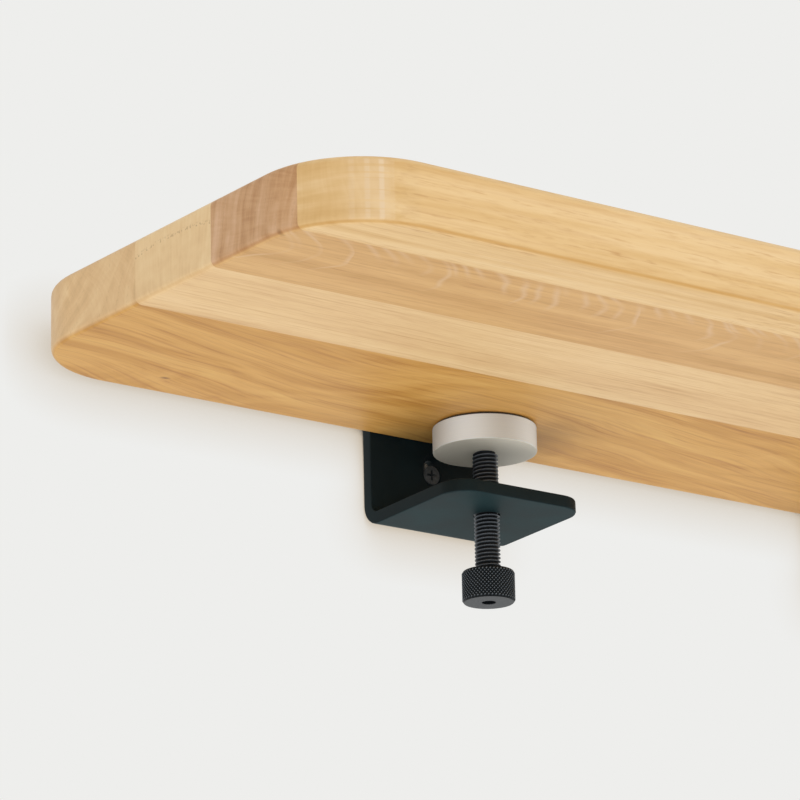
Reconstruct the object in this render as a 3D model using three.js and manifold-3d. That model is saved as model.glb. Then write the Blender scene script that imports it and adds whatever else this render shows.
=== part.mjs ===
// Wall-mounted nightstand: an oak board gripped at its back edge by two folded steel clamp brackets.
// Each bracket works like a bench vice: a knurled knob turns a threaded rod, and the rod pushes a disc
// up against the board's underside, so that the board is held between the disc and the upper jaw.
// Millimetres. +X runs along the board, +Y into the wall, +Z up. The origin lies on the wall's face,
// midway between the two brackets and level with the board's underside.

import * as THREE from "three";
import { mergeVertices } from "three/addons/utils/BufferGeometryUtils.js";
import Module from "manifold-3d";

const wasm = await Module();
wasm.setup();

// Board
const BOARD_LENGTH = 610;
const BOARD_DEPTH = 204;
const BOARD_THICKNESS = 24.4;
const BOARD_CORNER_RADIUS = 39;
const BOARD_EDGE_ROUND = 2.5;
const BOARD_SETBACK = 5.2; // from the wall to the board's back edge, which stands against the plates
const GLUE_LINE = 0.1;

// The four glued staves, from the wall to the front edge
const STAVES = [
  { name: "back_stave", width: 84, colour: "#b98f60" },
  { name: "third_stave", width: 48, colour: "#dcc19a" },
  { name: "second_stave", width: 48, colour: "#bd9775" },
  { name: "front_stave", width: 24, colour: "#d8b981" },
];

// Bracket: one steel plate folded twice into a C, open to the front
const BRACKET_SPACING = 224; // between the two rod axes
const BRACKET_WIDTH = 61.8;
const BRACKET_DEPTH = 60; // from the wall to the jaws' front edges
const STEEL = 5;
const BEND_INNER_RADIUS = 3.5;
const JAW_CORNER_RADIUS = 11;
const FLANGE_DROP = 35.8; // from the board's underside to the lower flange's lower face
const LINER_THICKNESS = 1;
const LINER_MARGIN = 2; // from the liner's edge to the jaw's
const LINER_GAP = 0.05; // above and below the liner
const LINER_FROM_WALL = 9; // clear of the upper bend
const ROD_FROM_WALL = 36.8;
const ROD_HOLE_RADIUS = 5.25;

// Clamp disc, with the pad on it and the clip that keeps it on the rod
const DISC_RADIUS = 20;
const DISC_THICKNESS = 10;
const DISC_EDGE_CHAMFER = 0.4;
const PAD_RADIUS = 19.6;
const PAD_THICKNESS = 0.8;
const PAD_GAP = 0.1; // between the pad and the board
const DISC_BORE_RADIUS = 3.3;
const DISC_POCKET_RADIUS = 6.5;
const DISC_POCKET_DEPTH = 4.5;
const CLIP_INNER_RADIUS = 2.4;
const CLIP_OUTER_RADIUS = 5;
const CLIP_THICKNESS = 0.8;
const CLIP_MOUTH = 3.6;
const CLIP_GAP = 0.3; // under the clip

// Threaded rod, M10 x 1.5
const THREAD_PITCH = 1.5;
const THREAD_CREST_RADIUS = 4.93;
const THREAD_ROOT_RADIUS = 4.1;
const THREAD_STEPS = 10; // steps in one turn of the helix
const THREAD_CHAMFER = 0.8;
const SPIGOT_RADIUS = 3;
const SPIGOT_GROOVE_RADIUS = 2.1;
const SPIGOT_GROOVE_WIDTH = 1.2;
const SPIGOT_HEAD = 1.6; // above the clip
const SHOULDER_GAP = 0.1; // between the rod's shoulder and the disc
const ROD_END_RADIUS = 4.2; // where the thread runs out
const ROD_TAIL_RADIUS = 4.05; // the plain end inside the knob
const ROD_TAIL_GAP = 0.3; // under the rod's end
const HEX_KEY = 5; // across the flats
const HEX_DEPTH = 5;

// Knurled knob
const KNOB_BOTTOM = -70.1;
const KNOB_HEIGHT = 12.2;
const KNOB_RADIUS = 10.2;
const KNURL_DEPTH = 0.4;
const KNURL_COLUMNS = 40;
const KNURL_ROWS = 7;
const KNOB_CHAMFER = 0.6;
const KNOB_BORE_RADIUS = 4.5;
const KNOB_FLOOR = 2;
const KNOB_KEY_HOLE_RADIUS = 3;
const KNOB_MOUTH_GAP = 0.4; // round the thread
const KNOB_MOUTH_DEPTH = 1.1;

// Wall screws, their holes in the plate and their plugs in the wall
const SCREW_RADIUS = 2;
const SCREW_HEAD_RADIUS = 3.8;
const SCREW_LENGTH = 40;
const SCREW_TIP = 4;
const SCREW_SINK = 0.2; // how far the head lies below the plate's face
const SCREW_HOLE_RADIUS = 2.3;
const COUNTERSINK_RADIUS = 4.3;
const SLOT_TRAVEL = 4; // how far the bracket can be moved on its lower screw
const SCREW_OFFSET = -1.8; // along X, from the rod's axis to the screws
const LOWER_SCREW_Z = -12;
const UPPER_SCREW_Z = 14;
const CROSS_WIDTH = 1;
const CROSS_LENGTH = 4.4;
const CROSS_DEPTH = 1.6;
const PLUG_LENGTH = 30;
const PLUG_RADIUS = 3;
const PLUG_COLLAR_RADIUS = 3.6;
const PLUG_COLLAR_WIDTH = 1;
const PLUG_SLIT_WIDTH = 1;
const PLUG_SLIT_START = 8;
const PLUG_RINGS = 2;
const PLUG_RING_DEPTH = 0.4;
const PLUG_RING_SLOPE = 0.7; // share of a ring's length that slopes
const PLUG_RING_END = 2; // plain length past the last ring
const PLUG_TIP_STEP = 0.3; // how much slimmer the far end is
const PLUG_SINK = 0.3; // how far the collar lies inside the wall

const ROUND_STEPS = 40; // sides of a large round face
const SMALL_ROUND_STEPS = 16; // sides of a small one
const PLUG_STEPS = 12; // sides of a plug
const CORNER_STEPS = 10; // steps in a rounded corner of the board
const JAW_CORNER_STEPS = 8;
const BEND_STEPS = 6;
const EDGE_ROUND_STEPS = 3;
const CUT = 2; // how far a cutting tool reaches past what it cuts
const OVERLAP = 0.1; // how far two joined cutters run into each other
const WELD = 1e-4; // points closer than this are one point

// Heights and places that follow from the sizes above
const FLANGE_TOP = -FLANGE_DROP + STEEL;
const JAW_UNDERSIDE = BOARD_THICKNESS + LINER_THICKNESS;
const JAW_TOP = JAW_UNDERSIDE + STEEL;
const DISC_TOP = -PAD_GAP - PAD_THICKNESS;
const DISC_BOTTOM = DISC_TOP - DISC_THICKNESS;
const POCKET_FLOOR = DISC_TOP - DISC_POCKET_DEPTH;
const CLIP_BOTTOM = POCKET_FLOOR + CLIP_GAP;
const SPIGOT_TOP = CLIP_BOTTOM + CLIP_THICKNESS + SPIGOT_HEAD;
const KNOB_TOP = KNOB_BOTTOM + KNOB_HEIGHT;

// Closed surfaces become solids for joining and cutting, and come back as plain geometries.
function solidFrom(geometry) {
  const bare = geometry.index ? geometry.toNonIndexed() : geometry.clone();
  bare.deleteAttribute("normal");
  bare.deleteAttribute("uv");
  const merged = mergeVertices(bare, WELD);
  const mesh = new wasm.Mesh({
    numProp: 3,
    vertProperties: merged.attributes.position.array,
    triVerts: new Uint32Array(merged.index.array),
  });
  return new wasm.Manifold(mesh);
}

function geometryFrom(solid) {
  const mesh = solid.getMesh();
  const geometry = new THREE.BufferGeometry();
  geometry.setAttribute("position", new THREE.BufferAttribute(mesh.vertProperties, 3));
  geometry.setIndex(new THREE.BufferAttribute(mesh.triVerts, 1));
  const faceted = geometry.toNonIndexed();
  faceted.computeVertexNormals();
  return faceted;
}

// A box between two corners.
function boxBetween(low, high) {
  const size = high.map((value, axis) => value - low[axis]);
  const middle = high.map((value, axis) => (value + low[axis]) / 2);
  return solidFrom(new THREE.BoxGeometry(...size).translate(...middle));
}

// A profile of [radius, height] points turned about the Y axis.
function turnedAboutY(profile, steps) {
  const points = profile.map(([radius, height]) => new THREE.Vector2(radius, height));
  return new THREE.LatheGeometry(points, steps);
}

// The same, turned about the Z axis.
function turnedAboutZ(profile, steps) {
  return turnedAboutY(profile, steps).rotateX(Math.PI / 2);
}

// A straight prism with a round section that stands on the Z axis.
function postBetween(radius, low, high, steps) {
  return solidFrom(turnedAboutZ([[0, low], [radius, low], [radius, high], [0, high]], steps));
}

// An outline in the XY plane, raised from one height to another.
function prismBetween(shape, low, high) {
  const geometry = new THREE.ExtrudeGeometry(shape, {
    depth: high - low,
    bevelEnabled: false,
    curveSegments: JAW_CORNER_STEPS,
  });
  return solidFrom(geometry.translate(0, 0, low));
}

// The board's outline in plan, drawn a little smaller by the given inset.
function boardOutline(inset) {
  const halfLength = BOARD_LENGTH / 2 - inset;
  const back = -BOARD_SETBACK - inset;
  const front = -BOARD_SETBACK - BOARD_DEPTH + inset;
  const radius = BOARD_CORNER_RADIUS - inset;
  const quarter = Math.PI / 2;
  const shape = new THREE.Shape();
  shape.absarc(halfLength - radius, back - radius, radius, 0, quarter, false);
  shape.absarc(-halfLength + radius, back - radius, radius, quarter, 2 * quarter, false);
  shape.absarc(-halfLength + radius, front + radius, radius, 2 * quarter, 3 * quarter, false);
  shape.absarc(halfLength - radius, front + radius, radius, 3 * quarter, 4 * quarter, false);
  shape.closePath();
  return shape;
}

// The whole board, with its outer edges rounded over.
function boardSolid() {
  const geometry = new THREE.ExtrudeGeometry(boardOutline(BOARD_EDGE_ROUND), {
    depth: BOARD_THICKNESS - 2 * BOARD_EDGE_ROUND,
    bevelEnabled: true,
    bevelThickness: BOARD_EDGE_ROUND,
    bevelSize: BOARD_EDGE_ROUND,
    bevelSegments: EDGE_ROUND_STEPS,
    curveSegments: CORNER_STEPS,
  });
  return solidFrom(geometry.translate(0, 0, BOARD_EDGE_ROUND));
}

// The part of the board between two distances from its back edge.
function staveBetween(board, nearWall, farFromWall) {
  const atBack = nearWall === 0;
  const atFront = farFromWall === BOARD_DEPTH;
  const back = -BOARD_SETBACK - nearWall + (atBack ? CUT : -GLUE_LINE / 2);
  const front = -BOARD_SETBACK - farFromWall + (atFront ? -CUT : GLUE_LINE / 2);
  const halfLength = BOARD_LENGTH / 2 + CUT;
  const slab = boxBetween([-halfLength, front, -CUT], [halfLength, back, BOARD_THICKNESS + CUT]);
  return board.intersect(slab);
}

// The side view of the folded plate: Y across the page and Z up it, with both bends as arcs.
function bracketSideView() {
  const outer = BEND_INNER_RADIUS + STEEL;
  const inner = BEND_INNER_RADIUS;
  const quarter = Math.PI / 2;
  const shape = new THREE.Shape();
  shape.moveTo(-BRACKET_DEPTH, -FLANGE_DROP);
  shape.absarc(-outer, -FLANGE_DROP + outer, outer, -quarter, 0, false);
  shape.absarc(-outer, JAW_TOP - outer, outer, 0, quarter, false);
  shape.lineTo(-BRACKET_DEPTH, JAW_TOP);
  shape.lineTo(-BRACKET_DEPTH, JAW_UNDERSIDE);
  shape.absarc(-STEEL - inner, JAW_UNDERSIDE - inner, inner, quarter, 0, true);
  shape.absarc(-STEEL - inner, FLANGE_TOP + inner, inner, 0, -quarter, true);
  shape.lineTo(-BRACKET_DEPTH, FLANGE_TOP);
  shape.closePath();
  return shape;
}

// The plan of both jaws, whose front corners are rounded.
function jawPlan() {
  const half = BRACKET_WIDTH / 2;
  const radius = JAW_CORNER_RADIUS;
  const quarter = Math.PI / 2;
  const shape = new THREE.Shape();
  shape.moveTo(half, CUT);
  shape.lineTo(-half, CUT);
  shape.absarc(-half + radius, -BRACKET_DEPTH + radius, radius, 2 * quarter, 3 * quarter, false);
  shape.absarc(half - radius, -BRACKET_DEPTH + radius, radius, 3 * quarter, 4 * quarter, false);
  shape.closePath();
  return shape;
}

// A countersunk slot through the wall plate; with the same height twice it is a round hole.
function countersunkSlot(low, high) {
  const sink = COUNTERSINK_RADIUS - SCREW_HOLE_RADIUS;
  const profile = [
    [0, -STEEL - CUT],
    [COUNTERSINK_RADIUS + CUT, -STEEL - CUT],
    [SCREW_HOLE_RADIUS, -STEEL + sink],
    [SCREW_HOLE_RADIUS, CUT],
    [0, CUT],
  ];
  const lower = solidFrom(turnedAboutY(profile, SMALL_ROUND_STEPS).translate(0, 0, low));
  if (high === low) return lower.translate([SCREW_OFFSET, 0, 0]);
  const upper = lower.translate([0, 0, high - low]);
  const section = new THREE.Shape();
  section.moveTo(-COUNTERSINK_RADIUS - CUT, -STEEL - CUT);
  section.lineTo(COUNTERSINK_RADIUS + CUT, -STEEL - CUT);
  section.lineTo(SCREW_HOLE_RADIUS, -STEEL + sink);
  section.lineTo(SCREW_HOLE_RADIUS, CUT);
  section.lineTo(-SCREW_HOLE_RADIUS, CUT);
  section.lineTo(-SCREW_HOLE_RADIUS, -STEEL + sink);
  section.closePath();
  return lower.add(upper).add(prismBetween(section, low, high)).translate([SCREW_OFFSET, 0, 0]);
}

// The folded plate: its side view drawn out to the width, the jaws' corners rounded, and its holes cut.
function bracketSolid() {
  const half = BRACKET_WIDTH / 2;
  const alongX = new THREE.Matrix4().makeBasis(
    new THREE.Vector3(0, 1, 0),
    new THREE.Vector3(0, 0, 1),
    new THREE.Vector3(1, 0, 0),
  );
  const folded = new THREE.ExtrudeGeometry(bracketSideView(), {
    depth: BRACKET_WIDTH,
    bevelEnabled: false,
    curveSegments: BEND_STEPS,
  });
  folded.applyMatrix4(alongX).translate(-half, 0, 0);
  const jaws = prismBetween(jawPlan(), -FLANGE_DROP - CUT, JAW_TOP + CUT);
  const rodHole = postBetween(
    ROD_HOLE_RADIUS,
    -FLANGE_DROP - CUT,
    FLANGE_TOP + CUT,
    SMALL_ROUND_STEPS,
  ).translate([0, -ROD_FROM_WALL, 0]);
  return solidFrom(folded)
    .intersect(jaws)
    .subtract(rodHole)
    .subtract(countersunkSlot(LOWER_SCREW_Z, LOWER_SCREW_Z + SLOT_TRAVEL))
    .subtract(countersunkSlot(UPPER_SCREW_Z, UPPER_SCREW_Z));
}

// Felt under the upper jaw, a little smaller than the jaw, with the same rounded front corners.
function jawLinerSolid() {
  const inset = new THREE.Matrix4().makeScale(
    (BRACKET_WIDTH - 2 * LINER_MARGIN) / BRACKET_WIDTH,
    (BRACKET_DEPTH - 2 * LINER_MARGIN) / BRACKET_DEPTH,
    1,
  );
  const geometry = new THREE.ExtrudeGeometry(jawPlan(), {
    depth: LINER_THICKNESS - 2 * LINER_GAP,
    bevelEnabled: false,
    curveSegments: JAW_CORNER_STEPS,
  });
  geometry.applyMatrix4(inset).translate(0, -LINER_MARGIN, BOARD_THICKNESS + LINER_GAP);
  const clearOfBend = boxBetween(
    [-BRACKET_WIDTH, -BRACKET_DEPTH, 0],
    [BRACKET_WIDTH, -LINER_FROM_WALL, JAW_TOP],
  );
  return solidFrom(geometry).intersect(clearOfBend);
}

// The disc: a bore for the rod's spigot, opening into a pocket above it for the clip.
function clampDiscGeometry() {
  const edge = DISC_EDGE_CHAMFER;
  const profile = [
    [DISC_BORE_RADIUS, DISC_BOTTOM],
    [DISC_RADIUS - edge, DISC_BOTTOM],
    [DISC_RADIUS, DISC_BOTTOM + edge],
    [DISC_RADIUS, DISC_TOP - edge],
    [DISC_RADIUS - edge, DISC_TOP],
    [DISC_POCKET_RADIUS, DISC_TOP],
    [DISC_POCKET_RADIUS, POCKET_FLOOR],
    [DISC_BORE_RADIUS, POCKET_FLOOR],
    [DISC_BORE_RADIUS, DISC_BOTTOM],
  ];
  return turnedAboutZ(profile, ROUND_STEPS);
}

// The thin round pad between the disc and the wood.
function discPadGeometry() {
  const bottom = DISC_TOP;
  const top = DISC_TOP + PAD_THICKNESS;
  return turnedAboutZ([[0, bottom], [PAD_RADIUS, bottom], [PAD_RADIUS, top], [0, top]], ROUND_STEPS);
}

// The open ring in the spigot's groove, which keeps the disc from dropping off the rod.
function retainingClipSolid() {
  const ring = turnedAboutZ([
    [CLIP_INNER_RADIUS, CLIP_BOTTOM],
    [CLIP_OUTER_RADIUS, CLIP_BOTTOM],
    [CLIP_OUTER_RADIUS, CLIP_BOTTOM + CLIP_THICKNESS],
    [CLIP_INNER_RADIUS, CLIP_BOTTOM + CLIP_THICKNESS],
    [CLIP_INNER_RADIUS, CLIP_BOTTOM],
  ], SMALL_ROUND_STEPS);
  const mouth = boxBetween(
    [0, -CLIP_MOUTH / 2, POCKET_FLOOR],
    [CLIP_OUTER_RADIUS + CUT, CLIP_MOUTH / 2, DISC_TOP],
  );
  return solidFrom(ring).subtract(mouth);
}

// A right-hand V thread between two heights. Its surface is a grid: one column for each step of the
// turn, and two rows for each turn, a crest and a root. Going once round climbs by one pitch, so the
// last column joins the first one two rows higher. A fan closes each end.
function threadSolid(low, high) {
  const turns = Math.ceil((high - low) / THREAD_PITCH) + 3;
  const rows = 2 * turns;
  const start = low - 1.5 * THREAD_PITCH;
  const positions = [];
  for (let row = 0; row <= rows; row++) {
    const radius = row % 2 === 0 ? THREAD_ROOT_RADIUS : THREAD_CREST_RADIUS;
    for (let step = 0; step < THREAD_STEPS; step++) {
      const turn = step / THREAD_STEPS;
      const angle = 2 * Math.PI * turn;
      const height = start + THREAD_PITCH * (row / 2 + turn);
      positions.push(radius * Math.cos(angle), radius * Math.sin(angle), height);
    }
  }
  const vertexAt = (step, row) => {
    const wrapped = step === THREAD_STEPS;
    return (wrapped ? row + 2 : row) * THREAD_STEPS + (wrapped ? 0 : step);
  };
  const triangles = [];
  for (let row = 0; row < rows; row++) {
    for (let step = 0; step < THREAD_STEPS; step++) {
      const last = step === THREAD_STEPS - 1;
      if (last && row > rows - 3) continue;
      const corner = vertexAt(step, row);
      const opposite = vertexAt(step + 1, row + 1);
      triangles.push(corner, vertexAt(step + 1, row), opposite);
      triangles.push(corner, opposite, vertexAt(step, row + 1));
    }
  }
  // The rim of each open end, in order round the rod, with the two rows that the climb leaves open
  const bottomRim = [];
  const topRim = [];
  for (let step = 0; step < THREAD_STEPS; step++) {
    bottomRim.push(vertexAt(step, 0));
    topRim.push(vertexAt(step, rows));
  }
  bottomRim.push(vertexAt(0, 2), vertexAt(0, 1));
  topRim.push(vertexAt(THREAD_STEPS - 1, rows - 1), vertexAt(THREAD_STEPS - 1, rows - 2));
  const bottomCentre = positions.length / 3;
  const topCentre = bottomCentre + 1;
  positions.push(0, 0, start, 0, 0, start + turns * THREAD_PITCH);
  bottomRim.forEach((vertex, index) => {
    triangles.push(bottomCentre, bottomRim[(index + 1) % bottomRim.length], vertex);
    triangles.push(topCentre, topRim[index], topRim[(index + 1) % topRim.length]);
  });
  const geometry = new THREE.BufferGeometry();
  geometry.setAttribute("position", new THREE.Float32BufferAttribute(positions, 3));
  geometry.setIndex(triangles);
  return solidFrom(geometry);
}

// The rod: a threaded length with a grooved spigot above it and a plain end with a hexagon socket below.
function clampRodSolid() {
  const top = DISC_BOTTOM - SHOULDER_GAP;
  const bottom = KNOB_TOP;
  const tailEnd = KNOB_BOTTOM + KNOB_FLOOR + ROD_TAIL_GAP;
  const outside = THREAD_CREST_RADIUS + 2 * OVERLAP;
  const envelope = turnedAboutZ([
    [0, bottom - THREAD_CHAMFER],
    [ROD_END_RADIUS, bottom - THREAD_CHAMFER],
    [outside, bottom],
    [outside, top - THREAD_CHAMFER],
    [outside - THREAD_CHAMFER, top],
    [0, top],
  ], SMALL_ROUND_STEPS);
  const grooveBottom = CLIP_BOTTOM - (SPIGOT_GROOVE_WIDTH - CLIP_THICKNESS) / 2;
  const spigot = turnedAboutZ([
    [0, top - CUT],
    [SPIGOT_RADIUS, top - CUT],
    [SPIGOT_RADIUS, grooveBottom],
    [SPIGOT_GROOVE_RADIUS, grooveBottom],
    [SPIGOT_GROOVE_RADIUS, grooveBottom + SPIGOT_GROOVE_WIDTH],
    [SPIGOT_RADIUS, grooveBottom + SPIGOT_GROOVE_WIDTH],
    [SPIGOT_RADIUS, SPIGOT_TOP],
    [0, SPIGOT_TOP],
  ], SMALL_ROUND_STEPS);
  const tail = postBetween(ROD_TAIL_RADIUS, tailEnd, bottom, SMALL_ROUND_STEPS);
  const hexRadius = HEX_KEY / Math.sqrt(3);
  const socket = postBetween(hexRadius, tailEnd - CUT, tailEnd + HEX_DEPTH, 6);
  return threadSolid(bottom - THREAD_CHAMFER, top)
    .intersect(solidFrom(envelope))
    .add(solidFrom(spigot))
    .add(tail)
    .subtract(socket);
}

// The knob's outside. Its diamond knurl is a grid whose points stand out and in by turns; each point
// that stands out is the tip of a four-sided pyramid.
function knurledSolid() {
  const rows = [[KNOB_RADIUS - KNURL_DEPTH - KNOB_CHAMFER, KNOB_BOTTOM]];
  for (let row = 0; row < KNURL_ROWS; row++) {
    const share = row / (KNURL_ROWS - 1);
    rows.push([null, KNOB_BOTTOM + KNOB_CHAMFER + share * (KNOB_HEIGHT - 2 * KNOB_CHAMFER)]);
  }
  rows.push([KNOB_RADIUS - KNURL_DEPTH - KNOB_CHAMFER, KNOB_TOP]);
  const positions = [];
  rows.forEach(([fixedRadius, height], row) => {
    for (let column = 0; column < KNURL_COLUMNS; column++) {
      const inner = row === 1 || row === KNURL_ROWS || (row + column) % 2 === 1;
      const radius = fixedRadius ?? KNOB_RADIUS - (inner ? KNURL_DEPTH : 0);
      const angle = (2 * Math.PI * column) / KNURL_COLUMNS;
      positions.push(radius * Math.cos(angle), radius * Math.sin(angle), height);
    }
  });
  const triangles = [];
  for (let row = 0; row < rows.length - 1; row++) {
    for (let column = 0; column < KNURL_COLUMNS; column++) {
      const next = (column + 1) % KNURL_COLUMNS;
      const [a, b] = [row * KNURL_COLUMNS + column, row * KNURL_COLUMNS + next];
      const [c, d] = [b + KNURL_COLUMNS, a + KNURL_COLUMNS];
      // The diagonal joins the two points that stand in
      if ((row + column) % 2 === 1) triangles.push(a, b, c, a, c, d);
      else triangles.push(a, b, d, b, c, d);
    }
  }
  const lastRow = (rows.length - 1) * KNURL_COLUMNS;
  const bottomCentre = positions.length / 3;
  positions.push(0, 0, KNOB_BOTTOM, 0, 0, KNOB_TOP);
  for (let column = 0; column < KNURL_COLUMNS; column++) {
    const next = (column + 1) % KNURL_COLUMNS;
    triangles.push(bottomCentre, next, column);
    triangles.push(bottomCentre + 1, lastRow + column, lastRow + next);
  }
  const geometry = new THREE.BufferGeometry();
  geometry.setAttribute("position", new THREE.Float32BufferAttribute(positions, 3));
  geometry.setIndex(triangles);
  return solidFrom(geometry);
}

// The knob: a cap over the rod's end, with a hole in its floor through which a key reaches the socket.
function knobSolid() {
  const floor = KNOB_BOTTOM + KNOB_FLOOR;
  const mouthFloor = KNOB_TOP - KNOB_MOUTH_DEPTH;
  const mouthRadius = THREAD_CREST_RADIUS + KNOB_MOUTH_GAP;
  const steps = SMALL_ROUND_STEPS;
  const bore = postBetween(KNOB_BORE_RADIUS, floor, mouthFloor + OVERLAP, steps);
  const mouth = postBetween(mouthRadius, mouthFloor, KNOB_TOP + CUT, steps);
  const keyHole = postBetween(KNOB_KEY_HOLE_RADIUS, KNOB_BOTTOM - CUT, floor + CUT, steps);
  return knurledSolid().subtract(bore).subtract(mouth).subtract(keyHole);
}

// A countersunk wood screw along +Y with a cross recess in its head.
function wallScrewSolid() {
  const face = -STEEL + SCREW_SINK;
  const neck = face + SCREW_HEAD_RADIUS - SCREW_RADIUS;
  const end = face + SCREW_LENGTH;
  const body = turnedAboutY([
    [0, face],
    [SCREW_HEAD_RADIUS, face],
    [SCREW_RADIUS, neck],
    [SCREW_RADIUS, end - SCREW_TIP],
    [0, end],
  ], SMALL_ROUND_STEPS);
  const [half, width] = [CROSS_LENGTH / 2, CROSS_WIDTH / 2];
  const across = boxBetween([-half, face - CUT, -width], [half, face + CROSS_DEPTH, width]);
  const upright = boxBetween([-width, face - CUT, -half], [width, face + CROSS_DEPTH, half]);
  return solidFrom(body).subtract(across).subtract(upright);
}

// A nylon wall plug: a tube with a collar at its mouth, ringed outside and slit from its far end.
function wallPlugSolid() {
  const profile = [
    [SCREW_HOLE_RADIUS, PLUG_SINK],
    [PLUG_COLLAR_RADIUS, PLUG_SINK],
    [PLUG_COLLAR_RADIUS, PLUG_SINK + PLUG_COLLAR_WIDTH],
    [PLUG_RADIUS, PLUG_SINK + PLUG_COLLAR_WIDTH],
  ];
  const ringPitch = (PLUG_LENGTH - PLUG_SLIT_START - PLUG_RING_END) / PLUG_RINGS;
  for (let ring = 0; ring < PLUG_RINGS; ring++) {
    const at = PLUG_SLIT_START + ring * ringPitch;
    profile.push([PLUG_RADIUS, at]);
    profile.push([PLUG_RADIUS - PLUG_RING_DEPTH, at]);
    profile.push([PLUG_RADIUS, at + ringPitch * PLUG_RING_SLOPE]);
  }
  profile.push([PLUG_RADIUS - PLUG_TIP_STEP, PLUG_LENGTH]);
  profile.push([SCREW_HOLE_RADIUS, PLUG_LENGTH]);
  profile.push([SCREW_HOLE_RADIUS, PLUG_SINK]);
  const half = PLUG_SLIT_WIDTH / 2;
  const slit = boxBetween(
    [-PLUG_RADIUS - CUT, PLUG_SLIT_START, -half],
    [PLUG_RADIUS + CUT, PLUG_LENGTH + CUT, half],
  );
  return solidFrom(turnedAboutY(profile, PLUG_STEPS)).subtract(slit);
}

// Materials
const paint = (colour, roughness, metalness) => () =>
  new THREE.MeshStandardMaterial({ color: new THREE.Color(colour), roughness, metalness });
const powderCoat = paint("#39444a", 0.55, 0);
const satinAluminium = paint("#cfccc6", 0.35, 1);
const blackSteel = paint("#3c3c3e", 0.4, 1);
const rubber = paint("#1d1d1e", 0.8, 0);
const felt = paint("#3a3b3d", 0.95, 0);
const springSteel = paint("#8e8f91", 0.35, 1);
const nylon = paint("#b9bcbd", 0.6, 0);

function named(name, geometry, material) {
  const mesh = new THREE.Mesh(geometry, material);
  mesh.name = name;
  return mesh;
}

const nightstand = new THREE.Group();

const board = boardSolid();
let fromBack = 0;
for (const stave of STAVES) {
  const solid = staveBetween(board, fromBack, fromBack + stave.width);
  nightstand.add(named(stave.name, geometryFrom(solid), paint(stave.colour, 0.5, 0)()));
  fromBack += stave.width;
}

// One set of clamp parts stands on each side of the middle.
const clampParts = [
  ["bracket", geometryFrom(bracketSolid()), powderCoat],
  ["jaw_liner", geometryFrom(jawLinerSolid()), felt],
];
const rodParts = [
  ["clamp_disc", clampDiscGeometry(), satinAluminium],
  ["disc_pad", discPadGeometry(), rubber],
  ["retaining_clip", geometryFrom(retainingClipSolid()), springSteel],
  ["clamp_rod", geometryFrom(clampRodSolid()), blackSteel],
  ["knob", geometryFrom(knobSolid()), blackSteel],
];
const fixings = [
  ["wall_screw", geometryFrom(wallScrewSolid()), blackSteel],
  ["wall_plug", geometryFrom(wallPlugSolid()), nylon],
];

for (const [side, x] of [["left", -BRACKET_SPACING / 2], ["right", BRACKET_SPACING / 2]]) {
  const clamp = new THREE.Group();
  clamp.position.x = x;
  for (const [name, geometry, material] of clampParts) {
    clamp.add(named(`${name}_${side}`, geometry, material()));
  }
  const rodAxis = new THREE.Group();
  rodAxis.position.y = -ROD_FROM_WALL;
  for (const [name, geometry, material] of rodParts) {
    rodAxis.add(named(`${name}_${side}`, geometry, material()));
  }
  clamp.add(rodAxis);
  for (const [level, z] of [["lower", LOWER_SCREW_Z], ["upper", UPPER_SCREW_Z]]) {
    for (const [name, geometry, material] of fixings) {
      const mesh = named(`${level}_${name}_${side}`, geometry, material());
      mesh.position.set(SCREW_OFFSET, 0, z);
      clamp.add(mesh);
    }
  }
  nightstand.add(clamp);
}

export default nightstand;
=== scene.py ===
"""A bedside shelf on a wall: an oak board of four glued staves, held at its back edge by two folded steel
clamp brackets. Shapes are drawn in millimetres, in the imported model's frame, and made metres at the end."""

import math

import bmesh
import bpy
from mathutils import Matrix, Vector


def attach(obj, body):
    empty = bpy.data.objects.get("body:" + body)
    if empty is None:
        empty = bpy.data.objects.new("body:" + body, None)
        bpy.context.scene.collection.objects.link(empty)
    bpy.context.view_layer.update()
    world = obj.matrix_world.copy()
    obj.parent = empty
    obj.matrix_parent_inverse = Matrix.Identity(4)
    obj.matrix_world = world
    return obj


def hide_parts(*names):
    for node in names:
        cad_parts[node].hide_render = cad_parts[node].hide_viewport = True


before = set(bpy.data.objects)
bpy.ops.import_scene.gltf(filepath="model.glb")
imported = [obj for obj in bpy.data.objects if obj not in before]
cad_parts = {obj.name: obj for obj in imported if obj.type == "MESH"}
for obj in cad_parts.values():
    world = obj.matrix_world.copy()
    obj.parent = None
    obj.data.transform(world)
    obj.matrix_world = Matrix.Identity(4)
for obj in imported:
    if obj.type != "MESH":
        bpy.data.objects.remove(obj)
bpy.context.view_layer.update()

MM = 0.001
TURN = 2 * math.pi

# Two points of a shape that are closer than this are one
CLOSE = 1e-4

# Board, from the wall forwards
BOARD_LENGTH = 610
BOARD_THICKNESS = 24.4
BOARD_BACK = -5.2
BOARD_FRONT = -209.2
BOARD_CORNER_RADIUS = 39
BOARD_EDGE_ROUND = 2.5
GLUE_JOINTS = (-89.2, -137.2, -185.2)

# Bracket, whose middle is at X 0 until it is moved to its side
BRACKET_OFFSET = 112
BRACKET_WIDTH = 61.8
BRACKET_SHIFT = -0.3  # from its rod
BRACKET_DEPTH = 60
STEEL = 5
BEND_INSIDE = 3.5
FLANGE_TOP = -31.5  # at its back; it rises a little to the front
FLANGE_RISE = 1.5  # degrees
JAW_UNDERSIDE = 25.4
JAW_CORNER_RADIUS = 11
STEEL_EDGE_ROUND = 0.6
ROD_FROM_WALL = 36.8
ROD_HOLE_RADIUS = 5.05
ROD_HOLE_EASE = 0.1
LINER_FROM_WALL = 9
LINER_MARGIN = 2
LINER_BOTTOM = BOARD_THICKNESS + 0.05
LINER_THICKNESS = 0.9

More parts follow.
